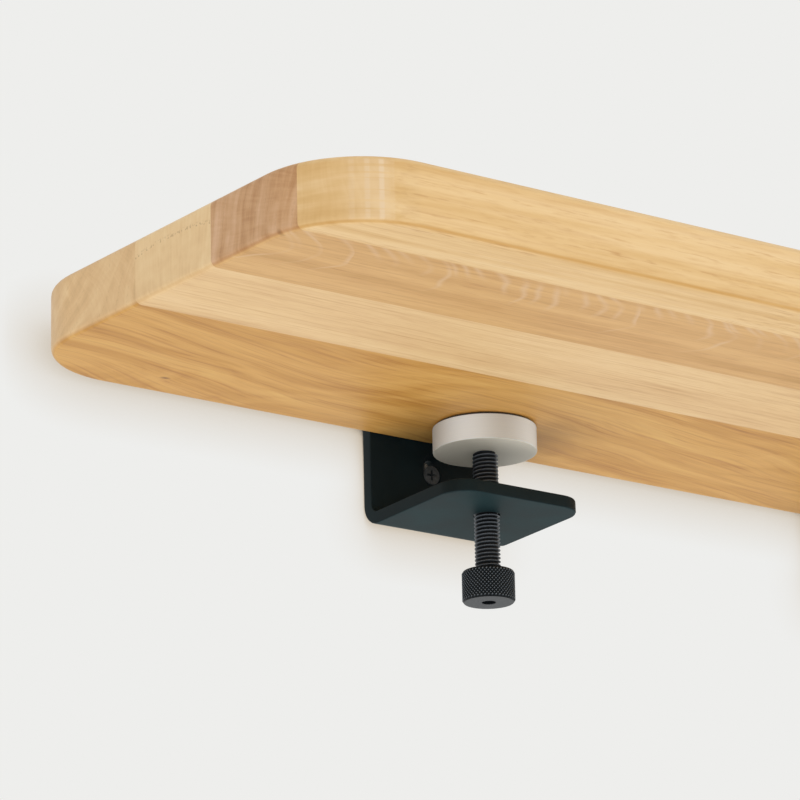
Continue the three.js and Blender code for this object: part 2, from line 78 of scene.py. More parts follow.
# Clamp disc and what sits in and on it
DISC_RADIUS = 20
DISC_TOP = -0.9
DISC_BOTTOM = -10.9
DISC_BORE = 3.3
POCKET_RADIUS = 6.5
POCKET_FLOOR = -5.4
PAD_RADIUS = 19
PAD_TOP = -0.1
CLIP_BOTTOM = -5.1
CLIP_THICKNESS = 0.8
CLIP_INSIDE = 2.4
CLIP_OUTSIDE = 5
CLIP_MOUTH = 3.6

# Rod, whose thread has flats on its crests and roots, and knob
PITCH = 1.5
CREST = 4.93
ROOT = 4.05
CREST_FLAT = 0.2
ROOT_FLAT = 0.3
SPIGOT = 3
SPIGOT_TOP = -2.7
GROOVE = 2.1
GROOVE_BOTTOM = CLIP_BOTTOM - 0.2
GROOVE_HEIGHT = 1.2
HEX_KEY = 5
HEX_DEPTH = 5
KNOB_BOTTOM = -70.1
KNOB_TOP = -57.9
KNOB_RADIUS = 10.2
KNURL_DEPTH = 0.5
KNURL_COLUMNS = 88
KNURL_ROWS = 15
KEY_HOLE = 2.6
KEY_HOLE_DEPTH = 2
KNOB_BORE = 4.5
KNOB_MOUTH = 5.33
KNOB_MOUTH_DEPTH = 1.1
ROD_END = KNOB_BOTTOM + 1.5

# Wall screws and plugs
SCREW_HEIGHTS = {"lower": -12, "upper": 14}
SCREW_OFFSET = -1.8
SCREW_FACE = -4.8
SCREW_LENGTH = 40
SCREW_PITCH = 1.8
HEAD_RADIUS = 3.8
HEAD_RIM = 0.4
SHANK_RADIUS = 2
SHANK_ROOT = 1.35
CROSS_ARM = 2.2
CROSS_HALF_WIDTH = 0.5
CROSS_DEPTH = 1.7
SCREW_HOLE = 2.3
COUNTERSINK = 4.3
SLOT_TRAVEL = 4
PLUG_RADIUS = 3
PLUG_COLLAR = 3.6
PLUG_GROOVE = 2.65
PLUG_TIP = 2.7
PLUG_RING = 5
PLUG_SPLIT_FROM = 8
PLUG_SLIT = 1
PLUG_LENGTH = 30


# Materials


def linear(code):
    """A colour written as sRGB hex, as the linear values that a socket takes."""
    parts = [int(code[i : i + 2], 16) / 255 for i in (1, 3, 5)]
    return (*(c / 12.92 if c <= 0.04045 else ((c + 0.055) / 1.055) ** 2.4 for c in parts), 1)


def add(tree, kind, inputs=None, stops=None, out=0, **settings):
    """Adds a node with its settings, sets or links its inputs, and gives back one of its outputs.
    Stops are a colour ramp's."""
    node = tree.nodes.new("ShaderNode" + kind)
    for name, value in settings.items():
        setattr(node, name, value)
    for name, value in (inputs or {}).items():
        if isinstance(value, bpy.types.NodeSocket):
            tree.links.new(value, node.inputs[name])
        else:
            node.inputs[name].default_value = value
    for index, (at, code) in enumerate(stops or []):
        elements = node.color_ramp.elements
        element = elements[index] if index < 2 else elements.new(at)
        element.position = at
        element.color = linear(code)
    return node.outputs[out] if node.outputs else node


# Settings of a Mix node that lays one colour over another, and of one that multiplies them
OVER = {"out": "Result", "data_type": "RGBA"}
TINT = {**OVER, "blend_type": "MULTIPLY"}


def start_material(name, **sockets):
    """A new material with its shader, and the object's own coordinates in millimetres."""
    material = bpy.data.materials.new(name)
    material.use_nodes = True
    tree = material.node_tree
    shader = tree.nodes["Principled BSDF"]
    for socket, value in sockets.items():
        shader.inputs[socket.replace("_", " ")].default_value = value
    place = add(tree, "TexCoord", out="Object")
    mm = add(tree, "VectorMath", {0: place, "Scale": 1 / MM}, operation="SCALE")
    return material, tree, shader, mm


def finish_surface(tree, shader, colour, rough, height, strength, depth):
    """Gives a shader its colour, its roughness, and a relief of so many millimetres."""
    tree.links.new(colour, shader.inputs["Base Color"])
    tree.links.new(rough, shader.inputs["Roughness"])
    bump = add(tree, "Bump", {"Height": height, "Strength": strength, "Distance": depth * MM})
    tree.links.new(bump, shader.inputs["Normal"])


def streaks(tree, place, along, across, detail):
    """Noise drawn out along the board: how long and how wide its marks are, in millimetres."""
    stretched = add(tree, "Mapping", {"Vector": place, "Scale": (1 / along, 1 / across, 1 / across)})
    return add(tree, "TexNoise", {"Vector": stretched, "Scale": 1, "Detail": detail})


def facing(tree, axes):
    """How far the surface faces each way, from -1 to 1."""
    normal = add(tree, "TexCoord", out="Normal")
    return [add(tree, "SeparateXYZ", {0: normal}, out=axis) for axis in axes]


def levelness(tree):
    """How level the surface is: 0 on an upright face, 1 on one that looks straight up or down."""
    (normal_z,) = facing(tree, "Z")
    return add(tree, "Math", {0: normal_z}, operation="ABSOLUTE")


def slant(tree, level):
    """Nothing on upright and on level faces, and up to a quarter on what is rounded over between them."""
    squared = add(tree, "Math", {0: level, 1: level}, operation="MULTIPLY")
    rest = add(tree, "Math", {0: 1, 1: squared}, operation="SUBTRACT")
    return add(tree, "Math", {0: squared, 1: rest}, operation="MULTIPLY")


# Sizes in oak's figure that all staves share
RING_RUN = 400  # along the board, before a ring's tone has changed
RING_ARC = 50  # and round the heart
FIBRE_LENGTH = 28
DRIFT_LENGTH = 240
MOTTLE_LENGTH = 22
MOTTLE_WIDTH = 6
PORE_WIDTH = 0.8
LINE_LENGTH = 60
LINE_WIDTH = 1.5
END_RAY_WIDTH = 1.1
END_RAY_LENGTH = 16
END_MOTTLE_SHARE = 0.3
EARLY_WOOD = [
    (0.0, "#ffffff"), (0.12, "#e0e0e0"), (0.3, "#404040"),
    (0.6, "#000000"), (0.95, "#000000"), (1.0, "#ffffff"),
]


def oak(name, look):
    """Oiled oak, sawn and glued up into staves. The eye gets year rings round a heart line, fine straight
    fibres, short open pores, silvery rays, sawn ends that show the rings end-on, and painted shade on the
    lower arrises."""
    material, tree, shader, mm = start_material(name, IOR=1.46)

    # The grain wanders from a straight line
    slow = add(tree, "Mapping", {"Vector": mm, "Location": look["wave_at"], "Scale": look["wave_scale"]})
    wander = add(tree, "TexNoise", {"Vector": slow, "Scale": 1, "Detail": 1}, out="Color")
    centred = add(tree, "VectorMath", {0: wander, 1: (0.5, 0.5, 0.5)}, operation="SUBTRACT")
    wave = look["wave"]
    grown = add(tree, "VectorMath", {0: centred, 1: (0, wave, wave), 2: mm}, operation="MULTIPLY_ADD")
    bent = add(tree, "VectorMath", {0: centred, 1: (0, wave, wave / 10), 2: mm}, operation="MULTIPLY_ADD")

    # Distance from the heart line, and way round it
    heart_y, heart_z = look["heart"]
    lean = [math.radians(a) for a in (0, *look["lean"])]
    log = add(tree, "Mapping", {"Vector": grown, "Location": (0, -heart_y, -heart_z), "Rotation": lean})
    across = add(tree, "VectorMath", {0: log, 1: (0, 1, 1)}, operation="MULTIPLY")
    radius = add(tree, "VectorMath", {0: across}, out="Value", operation="LENGTH")
    log_y, log_z = (add(tree, "SeparateXYZ", {0: log}, out=axis) for axis in "YZ")
    angle = add(tree, "Math", {0: log_z, 1: log_y}, operation="ARCTAN2")
    heart_distance = math.hypot(heart_y - look["middle"], heart_z)
    arc = add(tree, "Math", {0: angle, 1: heart_distance}, operation="MULTIPLY")

    # Growth: soft bands round the heart line. Early: where each year's early wood lies, with its pores
    years = add(tree, "Math", {0: radius, 1: look["ring"]}, operation="DIVIDE")
    along_x = add(tree, "SeparateXYZ", {0: mm}, out="X")
    slow_x = add(tree, "Math", {0: along_x, 1: RING_RUN}, operation="DIVIDE")
    slow_arc = add(tree, "Math", {0: arc, 1: RING_ARC}, operation="DIVIDE")
    banded = add(tree, "CombineXYZ", {0: slow_x, 1: years, 2: slow_arc})
    growth = add(tree, "TexNoise", {"Vector": banded, "Scale": 1, "Detail": 4, "Roughness": 0.58})
    uneven = add(tree, "TexNoise", {"W": years, "Scale": 0.4, "Detail": 0}, noise_dimensions="1D")
    counted = add(tree, "Math", {0: uneven, 1: look["uneven"], 2: years}, operation="MULTIPLY_ADD")
    in_year = add(tree, "Math", {0: counted}, operation="FRACT")
    early = add(tree, "ValToRGB", {"Fac": in_year}, stops=EARLY_WOOD)

    # Fibres, drifts of colour, and pores: dashes along the grain that are dots on a sawn end
    askew = add(tree, "Mapping", {"Vector": bent, "Rotation": (0, 0, math.radians(look["askew"]))})
    fibre = streaks(tree, askew, FIBRE_LENGTH, look["fibre"], detail=4)
    drift = streaks(tree, askew, DRIFT_LENGTH, look["drift"], detail=2)
    mottle = streaks(tree, bent, MOTTLE_LENGTH, MOTTLE_WIDTH, detail=3)
    dash = streaks(tree, askew, look["dash"], PORE_WIDTH, detail=2)
    open_pores = add(tree, "MapRange", {"Value": dash, "From Min": 0.5, "From Max": 0.75})
    crowd = add(tree, "MapRange", {"Value": early, "To Min": 0.35})
    pores = add(tree, "Math", {0: open_pores, 1: crowd}, operation="MULTIPLY")
    lines = streaks(tree, askew, LINE_LENGTH, LINE_WIDTH, detail=1)
    fine = {"Value": lines, "From Min": 0.52, "From Max": 0.78, "To Max": look["lines"]}
    lines = add(tree, "MapRange", fine)

    # Which way the surface faces: sawn end, side, or rounded-over lower arris
    normal_x, normal_z = facing(tree, "XZ")
    end_on = add(tree, "Math", {0: normal_x}, operation="ABSOLUTE")
    sawn = add(tree, "MapRange", {"Value": end_on, "From Min": look["end_from"], "From Max": look["end_to"]})
    along = {"Value": end_on, "From Min": 0.12, "From Max": 0.4, "To Min": 1, "To Max": 0}
    cut_along = add(tree, "MapRange", along)
    # Painted shade: a darker tint on the rounded-over lower arris
    lower = add(tree, "Math", {0: normal_z, 1: 0}, operation="LESS_THAN")
    arris_shade = add(tree, "Math", {0: slant(tree, normal_z), 1: lower}, operation="MULTIPLY")
    rounded = {"Value": arris_shade, "From Min": 0.15, "From Max": 0.25, "To Max": look["arris_shade"]}
    painted_arris_shade = add(tree, "MapRange", rounded)

    # Long faces: one tone made of four layers, coloured by a ramp, with lines, pores and rays on it
    tone = look["tone"]
    for layer, kind in ((drift, "drift"), (growth, "growth"), (fibre, "fibre"), (mottle, "mottle")):
        tone = add(tree, "Math", {0: layer, 1: look[kind + "_share"], 2: tone}, operation="MULTIPLY_ADD")
    wood = add(tree, "ValToRGB", {"Fac": tone}, stops=look["colours"])
    for marks, share in ((lines, 1), (pores, look["pore_share"])):
        marks = add(tree, "Math", {0: marks, 1: cut_along}, operation="MULTIPLY")
        marks = add(tree, "Math", {0: marks, 1: share}, operation="MULTIPLY")
        wood = add(tree, "Mix", {"Factor": marks, "A": wood, "B": linear("#c1924a")}, **TINT)
    if look["rays"]:
        rays = look["rays"](tree, mm)
        wood = add(tree, "Mix", {"Factor": rays, "A": wood, "B": linear(look["ray_colour"])}, **OVER)

    # Sawn ends: rings end-on, thin rays that run out from the heart, and pores as dots in rows
    spread = add(tree, "Math", {0: arc, 1: END_RAY_WIDTH}, operation="DIVIDE")
    far = add(tree, "Math", {0: radius, 1: END_RAY_LENGTH}, operation="DIVIDE")
    fan = add(tree, "CombineXYZ", {0: spread, 1: far})
    end_rays = add(tree, "TexNoise", {"Vector": fan, "Scale": 1, "Detail": 1})
    end_tone = look["end_tone"]
    shares = (look["end_growth"], look["end_rays"], END_MOTTLE_SHARE)
    for layer, share in zip((growth, end_rays, mottle), shares):
        end_tone = add(tree, "Math", {0: layer, 1: share, 2: end_tone}, operation="MULTIPLY_ADD")
    end_wood = add(tree, "ValToRGB", {"Fac": end_tone}, stops=look["end_colours"])
    dots = add(tree, "TexNoise", {"Vector": mm, "Scale": 1, "Detail": 0})
    dots = add(tree, "MapRange", {"Value": dots, "From Min": 0.52, "From Max": 0.62})
    rows = add(tree, "MapRange", {"Value": early, "From Min": look["row"], "To Max": look["end_pores"]})
    dotted = add(tree, "Math", {0: dots, 1: rows}, operation="MULTIPLY")
    end_wood = add(tree, "Mix", {"Factor": dotted, "A": end_wood, "B": linear("#80603e")}, **TINT)

    # Both together, with the painted shade on the lower arrises, and the knots, which are drawn out along the
    # grain
    colour = add(tree, "Mix", {"Factor": sawn, "A": wood, "B": end_wood}, **OVER)
    colour = add(tree, "Mix", {"Factor": painted_arris_shade, "A": colour, "B": linear(look["arris_shade_colour"])}, **TINT)
    for *spot, reach in look["knots"]:
        off = add(tree, "VectorMath", {0: mm, 1: spot}, operation="SUBTRACT")
        off = add(tree, "VectorMath", {0: off, 1: (0.55, 1, 1)}, operation="MULTIPLY")
        away = add(tree, "VectorMath", {0: off}, out="Value", operation="LENGTH")
        dark = add(tree, "MapRange", {"Value": away, "From Max": reach, "To Min": 0.9, "To Max": 0})
        colour = add(tree, "Mix", {"Factor": dark, "A": colour, "B": linear("#64391a")}, **OVER)

    # Satin sheen, duller in the pores, and a relief too shallow to feel
    rough = add(tree, "MapRange", {"Value": fibre, "To Min": 0.44, "To Max": 0.6})
    raised_fibre = add(tree, "Math", {0: fibre, 1: 0.3}, operation="MULTIPLY")
    height = add(tree, "Math", {0: raised_fibre, 1: pores}, operation="SUBTRACT")
    finish_surface(tree, shader, colour, rough, height, strength=0.2, depth=0.12)
    return material


def hooked_rays(tree, mm):
    """Rays that start at the front glue joint, bow to the right and swing back. Most are short."""
    start = 400  # shifts the row of rays along the board
    spacing = 7
    bow_at = 21  # in front of the joint: where a ray has bowed furthest
    bow = 0.034
    wander = 14
    shortest = 6
    longest = 42
    fade = 8
    x, y = (add(tree, "SeparateXYZ", {0: mm}, out=axis) for axis in "XY")
    drawn_out = add(tree, "Mapping", {"Vector": mm, "Scale": (0.03, 0.05, 0.03)})
    noise = add(tree, "TexNoise", {"Vector": drawn_out, "Scale": 1, "Detail": 1})
    depth = add(tree, "Math", {0: y, 1: GLUE_JOINTS[2]}, operation="SUBTRACT")
    from_bow = add(tree, "Math", {0: depth, 1: bow_at}, operation="SUBTRACT")
    squared = add(tree, "Math", {0: from_bow, 1: from_bow}, operation="MULTIPLY")
    swung = add(tree, "Math", {0: squared, 1: bow, 2: x}, operation="MULTIPLY_ADD")
    waved = add(tree, "Math", {0: noise, 1: wander, 2: swung}, operation="MULTIPLY_ADD")
    waved = add(tree, "Math", {0: waved, 1: start}, operation="ADD")
    spaced = add(tree, "Math", {0: waved, 1: spacing}, operation="DIVIDE")
    distance = add(tree, "TexVoronoi", {"W": spaced, "Scale": 1}, voronoi_dimensions="1D", feature="F1")
    chance = add(tree, "SeparateXYZ", {0: distance.node.outputs["Color"]}, out="X")
    narrows = {"Value": depth, "From Min": 4, "From Max": 34, "To Min": 0.34, "To Max": 0.14}
    width = add(tree, "MapRange", narrows)
    inner = add(tree, "Math", {0: width, 1: 0.1}, operation="MULTIPLY")
    ray = {"Value": distance, "From Min": inner, "From Max": width, "To Min": 1, "To Max": 0}
    thin = add(tree, "MapRange", ray)
    lucky = add(tree, "Math", {0: chance, 1: 1.3}, operation="POWER")
    reach = add(tree, "MapRange", {"Value": lucky, "To Min": shortest, "To Max": longest})
    left = add(tree, "Math", {0: reach, 1: depth}, operation="SUBTRACT")
    ended = add(tree, "MapRange", {"Value": left, "From Max": fade})
    strength = {"Value": noise, "From Min": 0.4, "From Max": 0.54, "To Min": 0.16, "To Max": 0.52}
    patchy = add(tree, "MapRange", strength)
    line = add(tree, "Math", {0: thin, 1: ended}, operation="MULTIPLY")
    return add(tree, "Math", {0: line, 1: patchy}, operation="MULTIPLY")


def corner_fleck(tree, mm):
    """A patch of rays on the round front corner: pale upright bars, crossed by thin lines of the wood."""
    middle = -286
    half_width = 9
    full_within = 5
    bar_spacing = 4.4
    x, z = (add(tree, "SeparateXYZ", {0: mm}, out=axis) for axis in "XZ")
    from_middle = add(tree, "Math", {0: x, 1: middle}, operation="SUBTRACT")
    off = add(tree, "Math", {0: from_middle}, operation="ABSOLUTE")
    fades = {"Value": off, "From Min": full_within, "From Max": half_width, "To Min": 1, "To Max": 0}
    patch = add(tree, "MapRange", fades)
    turns = add(tree, "Math", {0: from_middle, 1: TURN / bar_spacing}, operation="MULTIPLY")
    bars = add(tree, "Math", {0: turns}, operation="COSINE")
    pale = {"Value": bars, "From Min": 0.1, "From Max": 0.8, "To Min": 0.42, "To Max": 0.95}
    bars = add(tree, "MapRange", pale)
    lines = add(tree, "TexNoise", {"W": z, "Scale": 0.7, "Detail": 1}, noise_dimensions="1D")
    lines = add(tree, "MapRange", {"Value": lines, "From Min": 0.36, "From Max": 0.46, "To Min": 0.45})
    barred = add(tree, "Math", {0: bars, 1: lines}, operation="MULTIPLY")
    side_on = {"Value": levelness(tree), "From Min": 0.2, "From Max": 0.7, "To Min": 1, "To Max": 0}
    upright = add(tree, "MapRange", side_on)
    shown = add(tree, "Math", {0: barred, 1: patch}, operation="MULTIPLY")
    return add(tree, "Math", {0: shown, 1: upright}, operation="MULTIPLY")


# How the staves look. Colours run from the darkest tone to the palest. A tone is where the sum starts, and a
# share is how much of a layer it gets. Drift and fibre are widths, dash is the length of a pore and ring a
# year's growth. Heart is the heart line's Y and Z, and lean its slant in degrees, as askew is the fibres'.
# Middle is the stave's own Y. Row is where the rows of dots on an end begin. A knot is its place and radius.
# Arris shade is how strong the painted shade on the lower arrises is, and arris shade colour its tint.
OAK_COMMON = {
    "drift_share": 0.9,
    "uneven": 1.6,
    "row": 0.5,
    "askew": 0,
    "knots": [],
    "rays": None,
    "end_from": 0.5,
    "end_to": 0.85,
}
OAK_LOOKS = {
    "back_stave": {
        "colours": [(0.2, "#be873b"), (0.42, "#cc9648"), (0.6, "#d9a558"), (0.85, "#e2b466")],
        "end_colours": [(0.25, "#cba574"), (0.5, "#e1ba86"), (0.75, "#f1d09d")],
        "tone": -0.635, "growth_share": 0.75, "fibre_share": 0.36, "mottle_share": 0.25,
        "drift": 9, "fibre": 1.7, "dash": 16, "pore_share": 0.4, "lines": 0.38, "askew": -9,
        "heart": (-10, 100), "middle": -47, "lean": (1.2, 0.6), "ring": 5,
        "wave": 34, "wave_scale": (0.009, 0.016, 0.02), "wave_at": (0, 0, 0),
        "knots": [(-248.8, -22.4, 0, 1.5)],
        "end_tone": 0.01, "end_growth": 0.56, "end_rays": 0.12, "end_pores": 0.1,
        "arris_shade": 0.3, "arris_shade_colour": "#e6d2b4",
    },
    "third_stave": {
        "colours": [(0.2, "#d8af78"), (0.42, "#e6bf89"), (0.6, "#eeca94"), (0.85, "#f5d4a2")],
        "end_colours": [(0.25, "#d8af7c"), (0.5, "#ebc894"), (0.75, "#f8dbaa")],
        "tone": -0.45, "growth_share": 0.4, "fibre_share": 0.34, "mottle_share": 0.3,
        "drift": 11, "fibre": 1.5, "dash": 10, "pore_share": 0.5, "lines": 0.3, "askew": -1,
        "heart": (-113, -134), "middle": -113, "lean": (0.15, 0.2), "ring": 25.5, "uneven": 0, "row": 0.86,
        "wave": 6, "wave_scale": (0.004, 0.02, 0.02), "wave_at": (7, 0, 0),
        "end_tone": -0.05, "end_growth": 0.6, "end_rays": 0.2, "end_pores": 0.4,
        "arris_shade": 0.3, "arris_shade_colour": "#e8d6b8",
    },
    "second_stave": {
        "colours": [(0.2, "#c79757"), (0.42, "#d5a669"), (0.6, "#dfb274"), (0.85, "#e7bd7f")],
        "end_colours": [(0.25, "#b27f4e"), (0.5, "#cc9e70"), (0.75, "#dbb189")],
        "tone": -0.45, "growth_share": 0.35, "fibre_share": 0.34, "mottle_share": 0.3,
        "drift": 10, "fibre": 1.5, "dash": 10, "pore_share": 0.4, "lines": 0.25,
        "heart": (-265, -10), "middle": -161, "lean": (0.2, 0.3), "ring": 4,
        "wave": 8, "wave_scale": (0.005, 0.03, 0.03), "wave_at": (3, 0, 0),
        "knots": [(-302.5, -177, 1.2, 1.5)],
        "end_tone": -0.25, "end_growth": 1, "end_rays": 0.2, "end_pores": 0.1,
        "arris_shade": 0.5, "arris_shade_colour": "#d9bd98", "rays": hooked_rays, "ray_colour": "#e3c199",
    },
    "front_stave": {
        "colours": [(0.2, "#d9aa66"), (0.42, "#e6be81"), (0.6, "#f0cc94"), (0.85, "#f7d8a6")],
        "end_colours": [(0.25, "#d5a969"), (0.5, "#e1b97d"), (0.75, "#ecc994")],
        "tone": -0.385, "growth_share": 0.45, "fibre_share": 0.3, "mottle_share": 0.15,
        "drift": 6, "fibre": 1.4, "dash": 9, "pore_share": 0.45, "lines": 0.2,
        "heart": (-197, 140), "middle": -197, "lean": (0.25, 0.4), "ring": 6,
        "wave": 6, "wave_scale": (0.005, 0.03, 0.03), "wave_at": (11, 0, 0),
        "end_tone": -0.15, "end_growth": 0.8, "end_rays": 0.2, "end_pores": 0,
        "end_from": 0.3, "end_to": 0.75,
        "arris_shade": 0.7, "arris_shade_colour": "#e6d09c", "rays": corner_fleck, "ray_colour": "#f3d8b4",
    },
}


def powder_coat():
    """Powder-coated steel, baked satin: a near-black blue-green whose fine orange peel spreads reflections.
    It is painted a lighter blue-green on faces that look down, as painted reflected light."""
    material, tree, shader, mm = start_material(
        "powder_coated_steel_baked_satin", IOR=1.5, Specular_IOR_Level=0.1
    )
    bumps_per_mm = 1.6
    clouds_per_mm = 0.06
    peel = add(tree, "TexNoise", {"Vector": mm, "Scale": bumps_per_mm, "Detail": 2})
    cloud = add(tree, "TexNoise", {"Vector": mm, "Scale": clouds_per_mm, "Detail": 2})
    tone = add(tree, "ValToRGB", {"Fac": cloud}, stops=[(0.35, "#121d20"), (0.65, "#152225")])
    # Painted reflected light: faces that look down get lighter blue-green tones
    (normal_z,) = facing(tree, "Z")
    painted_underside_light = add(tree, "MapRange", {"Value": normal_z, "From Min": -0.7, "From Max": -0.95})
    below = add(tree, "ValToRGB", {"Fac": cloud}, stops=[(0.35, "#18292c"), (0.65, "#1d3235")])
    tone = add(tree, "Mix", {"Factor": painted_underside_light, "A": tone, "B": below}, **OVER)
    rough = add(tree, "MapRange", {"Value": cloud, "To Min": 0.52, "To Max": 0.6})
    finish_surface(tree, shader, tone, rough, peel, strength=0.3, depth=0.04)
    return material


def from_rod_axis(tree, mm):
    """Distance from the nearer rod's axis, way round it, and height."""
    x, y, z = (add(tree, "SeparateXYZ", {0: mm}, out=axis) for axis in "XYZ")
    side = add(tree, "Math", {0: x}, operation="ABSOLUTE")
    flat_x = add(tree, "Math", {0: side, 1: BRACKET_OFFSET}, operation="SUBTRACT")
    flat_y = add(tree, "Math", {0: y, 1: ROD_FROM_WALL}, operation="ADD")
    flat = add(tree, "CombineXYZ", {0: flat_x, 1: flat_y})
    distance = add(tree, "VectorMath", {0: flat}, out="Value", operation="LENGTH")
    return distance, add(tree, "Math", {0: flat_y, 1: flat_x}, operation="ARCTAN2"), z


def satin_aluminium():
    """Turned aluminium, clear anodised: pale grey, faint turning marks, and on its side broad upright bands
    of painted reflected light, as a turned ring shows. Its flat face is painted a shade warmer, as painted
    warm light, and its eased edges are brighter."""
    material, tree, shader, mm = start_material("turned_aluminium_satin_anodised")
    marks_per_mm = 3.2
    grains_per_mm = 4
    light_band_count = 4
    light_band_phase = 2.05
    distance, angle, height = from_rod_axis(tree, mm)
    turned_marks = add(tree, "CombineXYZ", {0: distance, 1: height})
    marks = add(tree, "TexNoise", {"Vector": turned_marks, "Scale": marks_per_mm, "Detail": 2})
    grain = add(tree, "TexNoise", {"Vector": mm, "Scale": grains_per_mm, "Detail": 1})
    tone = add(tree, "ValToRGB", {"Fac": marks}, stops=[(0.35, "#ecf5fc"), (0.65, "#f3fbff")])
    # Painted reflected light: upright bands of lighter and darker tone round the side
    swing = add(tree, "Math", {0: angle, 1: light_band_count, 2: light_band_phase}, operation="MULTIPLY_ADD")
    swing = add(tree, "Math", {0: swing}, operation="COSINE")
    level = levelness(tree)
    upright = {"Value": level, "From Min": 0.3, "From Max": 0.6, "To Min": 1, "To Max": 0}
    side_on = add(tree, "MapRange", upright)
    painted_light_band = add(tree, "MapRange", {"Value": swing, "From Min": 1, "From Max": -1})
    painted_light_band = add(tree, "Math", {0: painted_light_band, 1: side_on}, operation="MULTIPLY")
    tone = add(tree, "Mix", {"Factor": painted_light_band, "A": tone, "B": linear("#d8d2cb")}, **TINT)
    # Painted warm light: the flat faces get a warmer tone
    flat_on = add(tree, "Math", {0: 1, 1: side_on}, operation="SUBTRACT")
    painted_warm_light_share = add(tree, "Math", {0: flat_on, 1: 0.85}, operation="MULTIPLY")
    tone = add(tree, "Mix", {"Factor": painted_warm_light_share, "A": tone, "B": linear("#fff6e0")}, **OVER)
    on_edge = slant(tree, level)
    bright = {"Value": on_edge, "From Min": 0.12, "From Max": 0.22, "To Min": 0.08, "To Max": 0.9}
    polished = add(tree, "MapRange", bright)
    tree.links.new(polished, shader.inputs["Metallic"])
    rough = add(tree, "MapRange", {"Value": grain, "To Min": 0.46, "To Max": 0.56})
    both = add(tree, "Math", {0: marks, 1: grain}, operation="ADD")
    finish_surface(tree, shader, tone, rough, both, strength=0.15, depth=0.03)
    return material


def black_oxide(name, tones, grooves, crests):
    """Steel with a black oxide finish, lightly oiled. Grooves stay black, and crests are painted lighter
    grey, partly as wear and partly as painted highlight; flat turned ends are an even dark grey."""
    material, tree, shader, mm = start_material(name, Metallic=0.2, Specular_IOR_Level=0.12)
    specks_per_mm = 0.9
    distance, _, _ = from_rod_axis(tree, mm)
    # Crests painted lighter: partly wear, partly painted highlight
    wear_and_highlight = add(tree, "MapRange", {"Value": distance, "From Min": grooves, "From Max": crests})
    speck = add(tree, "TexNoise", {"Vector": mm, "Scale": specks_per_mm, "Detail": 3})
    patchy = add(tree, "MapRange", {"Value": speck, "From Min": 0.3, "From Max": 0.6, "To Min": 0.9})
    share = add(tree, "Math", {0: wear_and_highlight, 1: patchy}, operation="MULTIPLY")
    tone = add(tree, "ValToRGB", {"Fac": share}, stops=tones)
    flat = add(tree, "MapRange", {"Value": levelness(tree), "From Min": 0.93, "From Max": 0.98})
    tone = add(tree, "Mix", {"Factor": flat, "A": tone, "B": linear("#313539")}, **OVER)
    rough = add(tree, "MapRange", {"Value": speck, "To Min": 0.3, "To Max": 0.42})
    finish_surface(tree, shader, tone, rough, speck, strength=0.1, depth=0.03)
    return material


def plain_finish(name, tones, grains_per_mm, roughness, relief=0.03, **sockets):
    """A finish with a fine even mottle: two tones close to each other, and a relief of the same grain."""
    material, tree, shader, mm = start_material(name, **sockets)
    mottle = add(tree, "TexNoise", {"Vector": mm, "Scale": grains_per_mm, "Detail": 3})
    tone = add(tree, "ValToRGB", {"Fac": mottle}, stops=list(zip((0.35, 0.65), tones)))
    swing = 0.06
    rough = add(tree, "MapRange", {"Value": mottle, "To Min": roughness - swing, "To Max": roughness + swing})
    finish_surface(tree, shader, tone, rough, mottle, strength=0.4, depth=relief)
    return material


# Groove to crest tones; the pale crest tones are partly wear and partly painted highlight
ROD_TONES = [(0.0, "#121416"), (0.5, "#313539"), (1.0, "#6a7077")]
KNOB_TONES = [(0.0, "#14181b"), (0.35, "#20262a"), (0.65, "#555c63"), (1.0, "#939aa1")]
FINISHES = {
    "powder_coat": powder_coat(),
    "satin_aluminium": satin_aluminium(),
    "rod": black_oxide("steel_rod_black_oxide", ROD_TONES, ROOT, CREST),
    "knob": black_oxide("steel_knob_black_oxide_knurled", KNOB_TONES, KNOB_RADIUS - KNURL_DEPTH, KNOB_RADIUS),
    # Black zinc on a formed screw keeps a little of the metal's gloss
    "screw_steel": plain_finish(
        "steel_screw_black_zinc", ("#3b4144", "#494f53"), grains_per_mm=1.2, roughness=0.45, Metallic=0.3
    ),
    # Bare stamped spring steel keeps nearly all of its metallic shine under a film of oil
    "spring_steel": plain_finish(
        "spring_steel_oiled", ("#77797c", "#8c8e91"), grains_per_mm=1.5, roughness=0.34, Metallic=0.9
    ),
    # Pressed wool felt is matt and slightly fuzzy
    "felt": plain_finish(
        "felt_pressed", ("#33353a", "#44464a"), grains_per_mm=1.8, roughness=0.9, relief=0.2, Sheen_Weight=0.3
    ),
    # Moulded rubber is dark and matt, moulded nylon pale and smoother
    "rubber": plain_finish("rubber_moulded", ("#2a2826", "#353230"), grains_per_mm=2.5, roughness=0.75),
    "nylon": plain_finish("nylon_moulded", ("#aeb1b3", "#bdc0c1"), grains_per_mm=0.8, roughness=0.5),
}
for stave_name, stave_look in OAK_LOOKS.items():
    stave_slot = "oak_" + stave_name.removesuffix("_stave")
    FINISHES[stave_slot] = oak("oak_oiled_" + stave_name, {**OAK_COMMON, **stave_look})


# Shapes


def moved(bm, verts, vector):
    """Moves some of a shape's vertices."""
    bmesh.ops.translate(bm, verts=list(verts), vec=vector)


def at_radius(v, radius):
    """Moves a vertex straight towards the axis, or away from it."""
    share = radius / math.hypot(v.co.x, v.co.y)
    v.co.x *= share
    v.co.y *= share


def new_verts(made):
    """The vertices among what an operator made."""
    return [item for item in made["geom"] if isinstance(item, bmesh.types.BMVert)]


def edges_among(verts):
    """The edges that join these vertices to each other."""
    return list(dict.fromkeys(e for v in verts for e in v.link_edges if all(w in verts for w in e.verts)))


